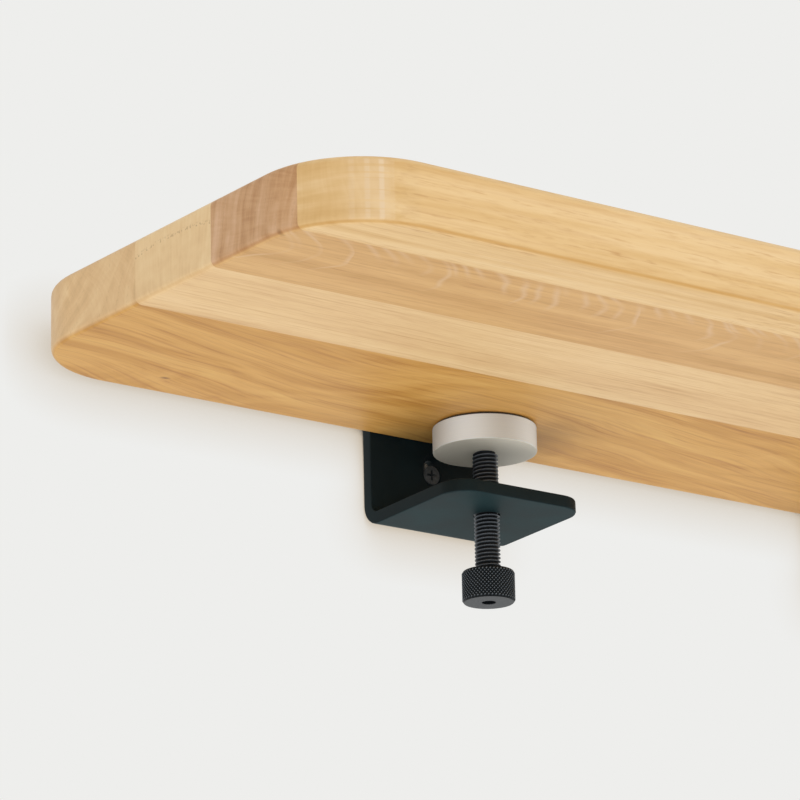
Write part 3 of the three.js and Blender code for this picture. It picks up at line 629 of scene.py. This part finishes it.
def ring(bm, radius, height, sides=48):
    """A level circle round the axis, as a loop of edges."""
    place = Matrix.Translation((0, 0, height))
    return edges_among(bmesh.ops.create_circle(bm, radius=radius, segments=sides, matrix=place)["verts"])


def bridged(bm, loops):
    """Joins each loop of edges to the next one with faces."""
    for near, far in zip(loops, loops[1:]):
        bmesh.ops.bridge_loops(bm, edges=near + far)


def filled_between(bm, edges):
    """Fills the flat space between closed loops."""
    bmesh.ops.triangle_fill(bm, use_beauty=True, use_dissolve=False, edges=edges)


def rounded_sheet(bm, half, near, far, height, radius, segments, corners=4):
    """A flat rectangle from near to far and half to each side, its corners rounded, the near ones first."""
    places = ((-half, near), (half, near), (half, far), (-half, far))
    verts = [bm.verts.new((x, y, height)) for x, y in places]
    bm.faces.new(verts)
    bmesh.ops.bevel(
        bm, geom=verts[:corners], offset=radius, segments=segments, profile=0.5, affect="VERTICES",
        material=-1,
    )


def thickened(bm, height):
    """Raises a flat sheet to a solid."""
    made = bmesh.ops.extrude_face_region(bm, geom=bm.faces[:])
    moved(bm, new_verts(made), (0, 0, height))


def cut_across(bm, point, direction, **settings):
    """Cuts all of the shape with a plane."""
    geometry = bm.verts[:] + bm.edges[:] + bm.faces[:]
    bmesh.ops.bisect_plane(bm, geom=geometry, dist=CLOSE, plane_co=point, plane_no=direction, **settings)


def keep_below(bm, point, direction):
    """Cuts the shape, drops what lies on the side that direction points to, and closes every open rim."""
    cut_across(bm, point, direction, clear_outer=True)
    bmesh.ops.holes_fill(bm, edges=[e for e in bm.edges if e.is_boundary])


def joined(bm, part):
    """Adds a finished part to a shape."""
    mesh = bpy.data.meshes.new("part")
    part.to_mesh(mesh)
    part.free()
    bm.from_mesh(mesh)
    bpy.data.meshes.remove(mesh)


def finish_piece(bm, name, node, finish, body, shift=0, sharp=30, even=False):
    """Makes a drawn shape a piece: its normals out, real size, finish, body and node. Edges bent by
    more than so many degrees look sharp, and even shading keeps large flat faces flat."""
    moved(bm, bm.verts, (shift, 0, 0))
    bmesh.ops.remove_doubles(bm, verts=bm.verts, dist=CLOSE)
    bmesh.ops.recalc_face_normals(bm, faces=bm.faces)
    bmesh.ops.scale(bm, verts=bm.verts, vec=(MM, MM, MM))
    for face in bm.faces:
        face.smooth = True
    mesh = bpy.data.meshes.new(name)
    bm.to_mesh(mesh)
    bm.free()
    mesh.set_sharp_from_angle(angle=math.radians(sharp))
    mesh.materials.append(FINISHES[finish])
    made = bpy.data.objects.new(name, mesh)
    bpy.context.scene.collection.objects.link(made)
    if even:
        made.modifiers.new("even_normals", "WEIGHTED_NORMAL").keep_sharp = True
    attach(made, body)
    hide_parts(node)


def board():
    """The whole board: an outline with round corners, raised, its outer edges rounded over."""
    bm = bmesh.new()
    rounded_sheet(bm, BOARD_LENGTH / 2, BOARD_FRONT, BOARD_BACK, 0, BOARD_CORNER_RADIUS, segments=20)
    thickened(bm, BOARD_THICKNESS)
    bmesh.ops.recalc_face_normals(bm, faces=bm.faces)
    rims = [e for e in bm.edges if abs(e.verts[0].co.z - e.verts[1].co.z) < CLOSE]
    bmesh.ops.bevel(
        bm, geom=rims, offset=BOARD_EDGE_ROUND, segments=5, profile=0.5, affect="EDGES", material=-1
    )
    return bm


def stave(name, back, front):
    """The part of the board between two glue joints. The back and front staves have one each."""
    bm = board()
    if back is not None:
        keep_below(bm, (0, back, 0), (0, 1, 0))
    if front is not None:
        keep_below(bm, (0, front, 0), (0, -1, 0))
    finish_piece(bm, "oak_" + name, name, "oak_" + name.removesuffix("_stave"), "shelf", even=True)


# The bracket's flat sheet, measured along its middle: the flange, the lower bend, the plate, the upper bend
# and the jaw
RISE = math.radians(FLANGE_RISE)
BEND_MIDDLE = -STEEL - BEND_INSIDE
FLANGE_FLAT = (BRACKET_DEPTH + BEND_MIDDLE) / math.cos(RISE)
LOW_BEND = (TURN / 4 + RISE) * (BEND_INSIDE + STEEL / 2)
HIGH_BEND = TURN / 4 * (BEND_INSIDE + STEEL / 2)
PLATE_LOW = FLANGE_TOP + BEND_INSIDE
PLATE_HIGH = JAW_UNDERSIDE - BEND_INSIDE
PLATE_START = FLANGE_FLAT + LOW_BEND
PLATE_END = PLATE_START + PLATE_HIGH - PLATE_LOW
SHEET_LENGTH = PLATE_END + HIGH_BEND + BRACKET_DEPTH + BEND_MIDDLE


def folded(across, along, depth):
    """Where a point of the flat sheet lies once the sheet is folded. Depth runs from the inner face."""
    swing = BEND_INSIDE + depth
    if along < PLATE_START:
        turn = min(1, (PLATE_START - along) / LOW_BEND) * (TURN / 4 + RISE)
        beyond = max(0, FLANGE_FLAT - along)
        y = BEND_MIDDLE + swing * math.cos(turn) - beyond * math.cos(RISE)
        return Vector((across, y, PLATE_LOW - swing * math.sin(turn) + beyond * math.sin(RISE)))
    if along < PLATE_END:
        return Vector((across, depth - STEEL, PLATE_LOW + along - PLATE_START))
    turn = min(1, (along - PLATE_END) / HIGH_BEND) * TURN / 4
    beyond = max(0, along - PLATE_END - HIGH_BEND)
    y = BEND_MIDDLE + swing * math.cos(turn) - beyond
    return Vector((across, y, PLATE_HIGH + swing * math.sin(turn)))


def sheet_loop(bm, inset, depth):
    """The flat sheet's outline as a loop of edges, drawn in by inset, at a depth in the steel."""
    before = set(bm.faces)
    half = BRACKET_WIDTH / 2 - inset
    rounded_sheet(bm, half, inset, SHEET_LENGTH - inset, depth, JAW_CORNER_RADIUS - inset, segments=10)
    face = (set(bm.faces) - before).pop()
    edges = list(face.edges)
    bmesh.ops.delete(bm, geom=[face], context="FACES_ONLY")
    return edges


def hole_loop(bm, radius, across, along, travel, depth):
    """A round hole's rim, or a slot's, as a loop of edges. A slot is drawn apart along the sheet."""
    sides = 48
    half_step = Matrix.Rotation(TURN / sides / 2, 4, "Z")
    made = bmesh.ops.create_circle(bm, radius=radius, segments=sides, matrix=half_step)["verts"]
    for v in made:
        v.co.x += across
        v.co.y += math.copysign(travel / 2, v.co.y) + along
        v.co.z = depth
    return edges_among(made)


def bracket(shift, side):
    """The folded plate: a flat sheet with its holes, edges eased, bent twice into a C."""
    bm = bmesh.new()
    ease = STEEL_EDGE_ROUND
    halfway = 0.29 * ease  # how far in the middle of a rounded edge lies
    levels = [(ease, 0), (halfway, halfway), (0, ease)]
    levels += [(inset, STEEL - depth) for inset, depth in reversed(levels)]
    outlines = [sheet_loop(bm, inset, depth) for inset, depth in levels]
    bridged(bm, outlines)
    inner, outer = list(outlines[0]), list(outlines[-1])

    flange_middle = (BEND_INSIDE + STEEL / 2) * math.tan(RISE)
    rod_at = FLANGE_FLAT - (ROD_FROM_WALL + BEND_MIDDLE) / math.cos(RISE) + flange_middle
    lower_at = PLATE_START + SCREW_HEIGHTS["lower"] + SLOT_TRAVEL / 2 - PLATE_LOW
    upper_at = PLATE_START + SCREW_HEIGHTS["upper"] - PLATE_LOW
    wide = ROD_HOLE_RADIUS + ROD_HOLE_EASE
    eased = [(wide, 0), (ROD_HOLE_RADIUS, ROD_HOLE_EASE)]
    eased += [(ROD_HOLE_RADIUS, STEEL - ROD_HOLE_EASE), (wide, STEEL)]
    countersunk = [(COUNTERSINK, 0), (SCREW_HOLE, COUNTERSINK - SCREW_HOLE), (SCREW_HOLE, STEEL)]
    holes = [
        (-BRACKET_SHIFT, rod_at, 0, eased),
        (SCREW_OFFSET - BRACKET_SHIFT, lower_at, SLOT_TRAVEL, countersunk),
        (SCREW_OFFSET - BRACKET_SHIFT, upper_at, 0, countersunk),
    ]
    for across, along, travel, steps in holes:
        rims = [hole_loop(bm, radius, across, along, travel, depth) for radius, depth in steps]
        bridged(bm, rims)
        inner += rims[0]
        outer += rims[-1]
    filled_between(bm, inner)
    filled_between(bm, outer)

    bend_steps = 10
    for start, length in ((FLANGE_FLAT, LOW_BEND), (PLATE_END, HIGH_BEND)):
        for step in range(bend_steps + 1):
            cut_across(bm, (0, start + length * step / bend_steps, 0), (0, 1, 0))
    for v in bm.verts:
        v.co = folded(*v.co)
    node = f"bracket_{side}"
    finish_piece(bm, node + "_folded", node, "powder_coat", "shelf", shift + BRACKET_SHIFT, even=True)


def turned(bm, points, steps, angle=TURN):
    """A closed outline of (radius, height) points, turned round the axis: all the way, or part of it with
    closed ends. An outline that starts on the axis is left open there."""
    whole = angle == TURN
    verts = [bm.verts.new((radius, 0, height)) for radius, height in points]
    edges = [bm.edges.new(pair) for pair in zip(verts, verts[1:])]
    if points[0][0] > 0:
        edges.append(bm.edges.new((verts[-1], verts[0])))
    geometry = verts + edges
    if not whole:
        geometry.append(bm.faces.new(verts))
    bmesh.ops.spin(
        bm, geom=geometry, cent=(0, 0, 0), axis=(0, 0, 1), dvec=(0, 0, 0), angle=angle, steps=steps,
        use_merge=whole,
    )


def on_rod_axis(bm):
    """Moves a shape from the axis that it was turned round to the rod's."""
    moved(bm, bm.verts, (0, -ROD_FROM_WALL, 0))


def clamp_disc(shift, side):
    """The turned disc: a bore for the rod's spigot and a pocket above it for the clip."""
    bm = bmesh.new()
    ease = 0.5
    halfway = 0.12  # how far in the middle of an eased edge lies
    bore_ease = 0.2
    turned(
        bm,
        [
            (DISC_BORE, DISC_BOTTOM + bore_ease), (DISC_BORE + bore_ease, DISC_BOTTOM),
            (DISC_RADIUS - ease, DISC_BOTTOM), (DISC_RADIUS - halfway, DISC_BOTTOM + halfway),
            (DISC_RADIUS, DISC_BOTTOM + ease), (DISC_RADIUS, DISC_TOP - ease),
            (DISC_RADIUS - halfway, DISC_TOP - halfway), (DISC_RADIUS - ease, DISC_TOP),
            (POCKET_RADIUS, DISC_TOP), (POCKET_RADIUS, POCKET_FLOOR), (DISC_BORE, POCKET_FLOOR),
        ],
        steps=128,
    )
    on_rod_axis(bm)
    node = f"clamp_disc_{side}"
    finish_piece(bm, node + "_turned", node, "satin_aluminium", f"disc_{side}", shift, even=True)


def disc_pad(shift, side):
    """The thin pad on the disc."""
    bm = bmesh.new()
    ease = 0.15
    turned(
        bm,
        [
            (0, DISC_TOP), (PAD_RADIUS - ease, DISC_TOP), (PAD_RADIUS, DISC_TOP + ease),
            (PAD_RADIUS, PAD_TOP - ease), (PAD_RADIUS - ease, PAD_TOP), (0, PAD_TOP),
        ],
        steps=96,
    )
    on_rod_axis(bm)
    node = f"disc_pad_{side}"
    finish_piece(bm, node + "_moulded", node, "rubber", f"disc_{side}", shift)


def retaining_clip(shift, side):
    """An open ring in the spigot's groove; its mouth points along the board."""
    bm = bmesh.new()
    inner, outer, ease = CLIP_INSIDE, CLIP_OUTSIDE, 0.1
    low, high = CLIP_BOTTOM, CLIP_BOTTOM + CLIP_THICKNESS
    mouth = 2 * math.asin(CLIP_MOUTH / (inner + outer))
    turned(
        bm,
        [
            (inner + ease, low), (outer - ease, low), (outer, low + ease), (outer, high - ease),
            (outer - ease, high), (inner + ease, high), (inner, high - ease), (inner, low + ease),
        ],
        angle=TURN - mouth,
        steps=40,
    )
    bmesh.ops.rotate(bm, verts=bm.verts, cent=(0, 0, 0), matrix=Matrix.Rotation(mouth / 2, 3, "Z"))
    on_rod_axis(bm)
    node = f"retaining_clip_{side}"
    finish_piece(bm, node + "_stamped", node, "spring_steel", f"screw_{side}", shift)


def threaded(bm, pitch, crest, root, low, high, steps, crest_flat, root_flat):
    """A right-hand thread: one ridge swept along a helix, which starts below low and ends above high."""
    turns = math.ceil((high - low) / pitch) + 3
    slope = (pitch - crest_flat - root_flat) / 2
    ridge = [
        (root, 0), (root, root_flat), (crest, root_flat + slope), (crest, root_flat + slope + crest_flat),
        (root, pitch),
    ]
    start = low - 1.5 * pitch
    verts = [bm.verts.new((radius, 0, start + height)) for radius, height in ridge]
    edges = [bm.edges.new(pair) for pair in zip(verts, verts[1:])]
    bmesh.ops.spin(
        bm, geom=verts + edges, cent=(0, 0, 0), axis=(0, 0, 1), dvec=(0, 0, pitch / steps),
        angle=TURN * turns, steps=steps * turns, use_merge=False,
    )
    bmesh.ops.remove_doubles(bm, verts=bm.verts, dist=10 * CLOSE)


def clamp_rod(shift, side):
    """The rod: an M10 thread chamfered at both ends, a grooved spigot above it, a hexagon socket below."""
    bm = bmesh.new()
    top, bottom = DISC_BOTTOM - 0.1, KNOB_TOP - 0.8
    threaded(bm, PITCH, CREST, ROOT, bottom, top, steps=48, crest_flat=CREST_FLAT, root_flat=ROOT_FLAT)
    for v in bm.verts:
        limit = max(ROOT - 0.1, ROOT + 0.1 + min(top - v.co.z, v.co.z - bottom))
        if math.hypot(v.co.x, v.co.y) > limit:
            at_radius(v, limit)
    keep_below(bm, (0, 0, top), (0, 0, 1))
    keep_below(bm, (0, 0, bottom), (0, 0, -1))
    groove_top = GROOVE_BOTTOM + GROOVE_HEIGHT
    chamfer = 0.3
    turned(
        bm,
        [
            (0, top), (SPIGOT, top), (SPIGOT, GROOVE_BOTTOM), (GROOVE, GROOVE_BOTTOM),
            (GROOVE, groove_top), (SPIGOT, groove_top),
            (SPIGOT, SPIGOT_TOP - chamfer), (SPIGOT - chamfer, SPIGOT_TOP), (0, SPIGOT_TOP),
        ],
        steps=48,
    )
    # The plain end inside the knob, with its socket
    end_chamfer = 0.4
    steps = ((ROOT, bottom), (ROOT, ROD_END + end_chamfer), (ROOT - end_chamfer, ROD_END))
    plain_end = [ring(bm, radius, height) for radius, height in steps]
    bridged(bm, plain_end)
    bmesh.ops.edgeloop_fill(bm, edges=plain_end[0])
    socket = [ring(bm, HEX_KEY / math.sqrt(3), height, sides=6) for height in (ROD_END, ROD_END + HEX_DEPTH)]
    bridged(bm, socket)
    bmesh.ops.edgeloop_fill(bm, edges=socket[1])
    filled_between(bm, plain_end[-1] + socket[0])
    on_rod_axis(bm)
    node = f"clamp_rod_{side}"
    finish_piece(bm, node + "_threaded", node, "rod", f"screw_{side}", shift, sharp=25)


def knob(shift, side):
    """The knurled knob: a grid whose points stand out and in by turns, as pyramids between grooves."""
    bm = bmesh.new()
    low, high = KNOB_BOTTOM + 0.25, KNOB_TOP - 0.3
    base = KNOB_RADIUS - KNURL_DEPTH
    ring(bm, KNOB_RADIUS, low, sides=KNURL_COLUMNS)
    rows = [bm.verts[:]]
    for _ in range(KNURL_ROWS):
        rows.append(new_verts(bmesh.ops.extrude_edge_only(bm, edges=edges_among(rows[-1]))))
        moved(bm, rows[-1], (0, 0, (high - low) / KNURL_ROWS))
    sides = list(bm.faces)
    inside = set()
    for row, verts in enumerate(rows):
        for v in verts:
            column = round(math.atan2(v.co.y, v.co.x) / TURN * KNURL_COLUMNS) % KNURL_COLUMNS
            if (row + column) % 2 or row in (0, KNURL_ROWS):
                inside.add(v)
                at_radius(v, base)
    for face in sides:
        low_pair = [v for v in face.verts if v in inside]
        if len(low_pair) == 2:
            bmesh.utils.face_split(face, *low_pair)
    # Ends: an eased edge and a flat face with the key's hole below, and the mouth round the rod above
    hole_top = KNOB_BOTTOM + KEY_HOLE_DEPTH
    mouth_floor = KNOB_TOP - KNOB_MOUTH_DEPTH
    below = [
        (base - 0.25, KNOB_BOTTOM), (KEY_HOLE + 0.2, KNOB_BOTTOM), (KEY_HOLE, KNOB_BOTTOM + 0.2),
        (KEY_HOLE, hole_top), (KNOB_BORE, hole_top), (KNOB_BORE, mouth_floor),
    ]
    above = [
        (base - 0.15, KNOB_TOP - 0.15), (base - 0.5, KNOB_TOP), (KNOB_MOUTH + 0.17, KNOB_TOP),
        (KNOB_MOUTH, KNOB_TOP - 0.2), (KNOB_MOUTH, mouth_floor),
    ]
    ends = []
    for loop, profile in ((rows[0], below), (rows[-1], above)):
        for radius, height in profile:
            loop = new_verts(bmesh.ops.extrude_edge_only(bm, edges=edges_among(loop)))
            for v in loop:
                at_radius(v, radius)
                v.co.z = height
        ends.append(edges_among(loop))
    bridged(bm, ends)
    on_rod_axis(bm)
    node = f"knob_{side}"
    finish_piece(bm, node + "_knurled", node, "knob", f"screw_{side}", shift, sharp=20)


def jaw_liner(shift, side):
    """Felt under the upper jaw, with the jaw's round front corners."""
    bm = bmesh.new()
    half = BRACKET_WIDTH / 2 - LINER_MARGIN
    front = LINER_MARGIN - BRACKET_DEPTH
    radius = JAW_CORNER_RADIUS - LINER_MARGIN
    rounded_sheet(bm, half, front, -LINER_FROM_WALL, LINER_BOTTOM, radius, segments=8, corners=2)
    thickened(bm, LINER_THICKNESS)
    node = f"jaw_liner_{side}"
    finish_piece(bm, node + "_felt", node, "felt", "shelf", shift)


def to_wall(bm, height):
    """Turns a piece drawn along +Z so that it points into the wall, and sets it at its height."""
    bmesh.ops.rotate(bm, verts=bm.verts, cent=(0, 0, 0), matrix=Matrix.Rotation(-TURN / 4, 3, "X"))
    moved(bm, bm.verts, (SCREW_OFFSET, 0, height))


def wall_screw(shift, side, level):
    """A countersunk wood screw with a cross recess: its face is at the plate, and it is drawn along +Z."""
    bm = bmesh.new()
    face, end = SCREW_FACE, SCREW_FACE + SCREW_LENGTH
    neck = face + HEAD_RADIUS - SHANK_RADIUS + HEAD_RIM
    arm, width = CROSS_ARM, CROSS_HALF_WIDTH
    outline = [(arm, -width), (arm, width), (width, width), (width, arm), (-width, arm), (-width, width)]
    outline += [(-x, -y) for x, y in outline]
    tops = [bm.verts.new((x, y, face)) for x, y in outline]
    cross = [bm.edges.new(pair) for pair in zip(tops, tops[1:] + tops[:1])]
    head = [(HEAD_RADIUS - 0.2, face), (HEAD_RADIUS, face + 0.15), (HEAD_RADIUS, face + HEAD_RIM)]
    rims = [ring(bm, radius, height) for radius, height in (*head, (SHANK_RADIUS - 0.2, neck))]
    bridged(bm, rims)
    bmesh.ops.edgeloop_fill(bm, edges=rims[-1])
    filled_between(bm, rims[0] + cross)
    floor = new_verts(bmesh.ops.extrude_edge_only(bm, edges=cross))
    floor_share = 0.45
    for v in floor:
        v.co = (v.co.x * floor_share, v.co.y * floor_share, face + CROSS_DEPTH)
    bmesh.ops.edgeloop_fill(bm, edges=edges_among(floor))

    shank = bmesh.new()
    threaded(
        shank, SCREW_PITCH, SHANK_RADIUS, SHANK_ROOT, neck, end, steps=20, crest_flat=0.15, root_flat=0.7
    )
    point_slope = 0.45
    for v in shank.verts:
        limit = max(0.05, (end - v.co.z) * point_slope)
        if math.hypot(v.co.x, v.co.y) > limit:
            at_radius(v, limit)
    keep_below(shank, (0, 0, neck), (0, 0, -1))
    keep_below(shank, (0, 0, end - 0.2), (0, 0, 1))
    joined(bm, shank)
    to_wall(bm, SCREW_HEIGHTS[level])
    node = f"{level}_wall_screw_{side}"
    finish_piece(bm, node + "_cut", node, "screw_steel", "shelf", shift)


def wall_plug(shift, side, level):
    """A nylon plug: a collared tube whose ringed far half is split into two jaws."""
    bm = bmesh.new()
    bore, split = SCREW_HOLE, PLUG_SPLIT_FROM
    start, collar_end, ease = 0.3, 1.3, 0.1
    turned(
        bm,
        [
            (bore, start), (PLUG_COLLAR - ease, start), (PLUG_COLLAR, start + ease),
            (PLUG_COLLAR, collar_end - ease), (PLUG_COLLAR - ease, collar_end),
            (PLUG_RADIUS, collar_end), (PLUG_RADIUS, split), (bore, split),
        ],
        steps=40,
    )
    # A jaw's outline: each of its four rings slopes up over three quarters of its length
    jaw = [(bore, split), (PLUG_RADIUS, split)]
    for low in (split + step * PLUG_RING for step in range(4)):
        jaw.append((PLUG_GROOVE, low + 0.2))
        jaw.append((PLUG_RADIUS, low + PLUG_RING * 0.75))
        jaw.append((PLUG_RADIUS, low + PLUG_RING - 0.1))
    jaw += [(PLUG_TIP, PLUG_LENGTH), (bore, PLUG_LENGTH)]
    gap = 2 * math.asin(PLUG_SLIT / 2 / PLUG_TIP)
    for turn in (0, TURN / 2):
        part = bmesh.new()
        turned(part, jaw, angle=TURN / 2 - gap, steps=18)
        about = Matrix.Rotation(turn + gap / 2, 3, "Z")
        bmesh.ops.rotate(part, verts=part.verts, cent=(0, 0, 0), matrix=about)
        joined(bm, part)
    to_wall(bm, SCREW_HEIGHTS[level])
    node = f"{level}_wall_plug_{side}"
    finish_piece(bm, node + "_moulded", node, "nylon", "shelf", shift)


joints = [None, *GLUE_JOINTS, None]
for name, back, front in zip(OAK_LOOKS, joints, joints[1:]):
    stave(name, back, front)

for side, shift in (("left", -BRACKET_OFFSET), ("right", BRACKET_OFFSET)):
    bracket(shift, side)
    jaw_liner(shift + BRACKET_SHIFT, side)
    clamp_disc(shift, side)
    disc_pad(shift, side)
    retaining_clip(shift, side)
    clamp_rod(shift, side)
    knob(shift, side)
    for level in SCREW_HEIGHTS:
        wall_screw(shift, side, level)
        wall_plug(shift, side, level)


# Stage, in metres: a wall and a floor that are seen only from the object's side, soft lamps and the camera

STAGE_HALF = 4
STAGE_FRONT = -5
WALL_BEHIND = 0.0005  # so that it clears the brackets' backs
WALL_TOP = 3
FLOOR_HEIGHT = -0.75
SHADED_WITHIN = 0.022  # of the wall
PALE_GREY = "#eeeeec"


def stage_sheet(name, corners, colour, shade=None):
    """A plain sheet that shows its front only; from behind, the object is seen through it. With a shade,
    the camera sees the sheet in its own plain colour, and in the shade's where something is close to it."""
    mesh = bpy.data.meshes.new(name)
    mesh.from_pydata(corners, [], [(0, 1, 2, 3)])
    material = bpy.data.materials.new(name)
    material.use_nodes = True
    tree = material.node_tree
    tree.nodes.clear()
    plain = add(tree, "BsdfDiffuse", {"Color": linear(colour)})
    if shade:
        near = add(tree, "AmbientOcclusion", {"Distance": SHADED_WITHIN}, out="AO", samples=16)
        tones = [(0.1, "#14120f"), (0.28, shade), (0.62, "#e2ddd5"), (1.0, colour)]
        seen = add(tree, "ValToRGB", {"Fac": near}, stops=tones)
        shown = add(tree, "Emission", {"Color": seen, "Strength": 1})
        by_camera = add(tree, "LightPath", out="Is Camera Ray")
        plain = add(tree, "MixShader", {0: by_camera, 1: plain, 2: shown})
    clear = add(tree, "BsdfTransparent")
    behind = add(tree, "NewGeometry", out="Backfacing")
    mixed = add(tree, "MixShader", {0: behind, 1: plain, 2: clear})
    add(tree, "OutputMaterial", {"Surface": mixed})
    mesh.materials.append(material)
    sheet = bpy.data.objects.new(name, mesh)
    bpy.context.scene.collection.objects.link(sheet)
    return sheet


left, right, front, back = -STAGE_HALF, STAGE_HALF, STAGE_FRONT, WALL_BEHIND
low, high = FLOOR_HEIGHT, WALL_TOP
wall_corners = [(left, back, low), (right, back, low), (right, back, high), (left, back, high)]
floor_corners = [(left, front, low), (right, front, low), (right, back, low), (left, back, low)]
wall = stage_sheet("wall", wall_corners, PALE_GREY, "#cabdaa")
# The object is lit as if the wall weren't there, so that its back isn't black in a view from behind
wall.visible_diffuse = False
wall.visible_glossy = False
wall.visible_shadow = False
floor = stage_sheet("floor", floor_corners, "#f0efec")
# The lamp below the floor shines through it
floor.visible_shadow = False


def sun(name, toward, strength, spread):
    """Even light from one side, given as the way towards it. Its spread in degrees softens the shadows."""
    light = bpy.data.lights.new(name, "SUN")
    light.energy = strength
    light.angle = math.radians(spread)
    made = bpy.data.objects.new(name, light)
    bpy.context.scene.collection.objects.link(made)
    made.rotation_euler = Vector(toward).to_track_quat("Z", "Y").to_euler()


sun("from_below", (-0.15, -0.3, -0.94), strength=0.9, spread=50)
sun("from_the_front", (-0.5, -0.8, -0.33), strength=0.5, spread=30)
sun("from_the_right", (0.8, -0.6, 0.05), strength=0.25, spread=45)
sun("from_above", (-0.3, -0.4, 0.85), strength=0.3, spread=90)

world = bpy.data.worlds.new("studio")
bpy.context.scene.world = world
world.use_nodes = True
sky = world.node_tree
sky.nodes.clear()
seen = 0
for ray in ("Is Camera Ray", "Is Glossy Ray", "Is Transmission Ray"):
    seen = add(sky, "Math", {0: seen, 1: add(sky, "LightPath", out=ray)}, operation="MAXIMUM")
surround = add(sky, "Background", {"Color": (1, 1, 1, 1), "Strength": 0.68})
backdrop = add(sky, "Background", {"Color": linear(PALE_GREY), "Strength": 1})
both = add(sky, "MixShader", {0: seen, 1: surround, 2: backdrop})
add(sky, "OutputWorld", {"Surface": both})

# The camera stands below the board, to its left, and looks up at the left bracket
CAMERA_PLACE = (-1.16568, -1.41952, -0.52998)
FOCAL_LENGTH = 213.03
SENSOR_WIDTH = 36
YAW = math.radians(36.249)
PITCH_UP = math.radians(17.293)
ROLL = math.radians(-1.187)
forward = Vector((math.sin(YAW) * math.cos(PITCH_UP), math.cos(YAW) * math.cos(PITCH_UP), math.sin(PITCH_UP)))
level_right = Vector((math.cos(YAW), -math.sin(YAW), 0))
level_up = level_right.cross(forward)
rolled_right = math.cos(ROLL) * level_right + math.sin(ROLL) * level_up
rolled_up = math.cos(ROLL) * level_up - math.sin(ROLL) * level_right
lens = bpy.data.cameras.new("camera")
lens.lens = FOCAL_LENGTH
lens.sensor_width = SENSOR_WIDTH
lens.sensor_fit = "HORIZONTAL"
camera = bpy.data.objects.new("camera", lens)
bpy.context.scene.collection.objects.link(camera)
axes = Matrix((rolled_right, rolled_up, -forward)).transposed().to_4x4()
camera.matrix_world = Matrix.Translation(CAMERA_PLACE) @ axes
bpy.context.scene.camera = camera

bpy.context.scene.view_settings.view_transform = "Standard"
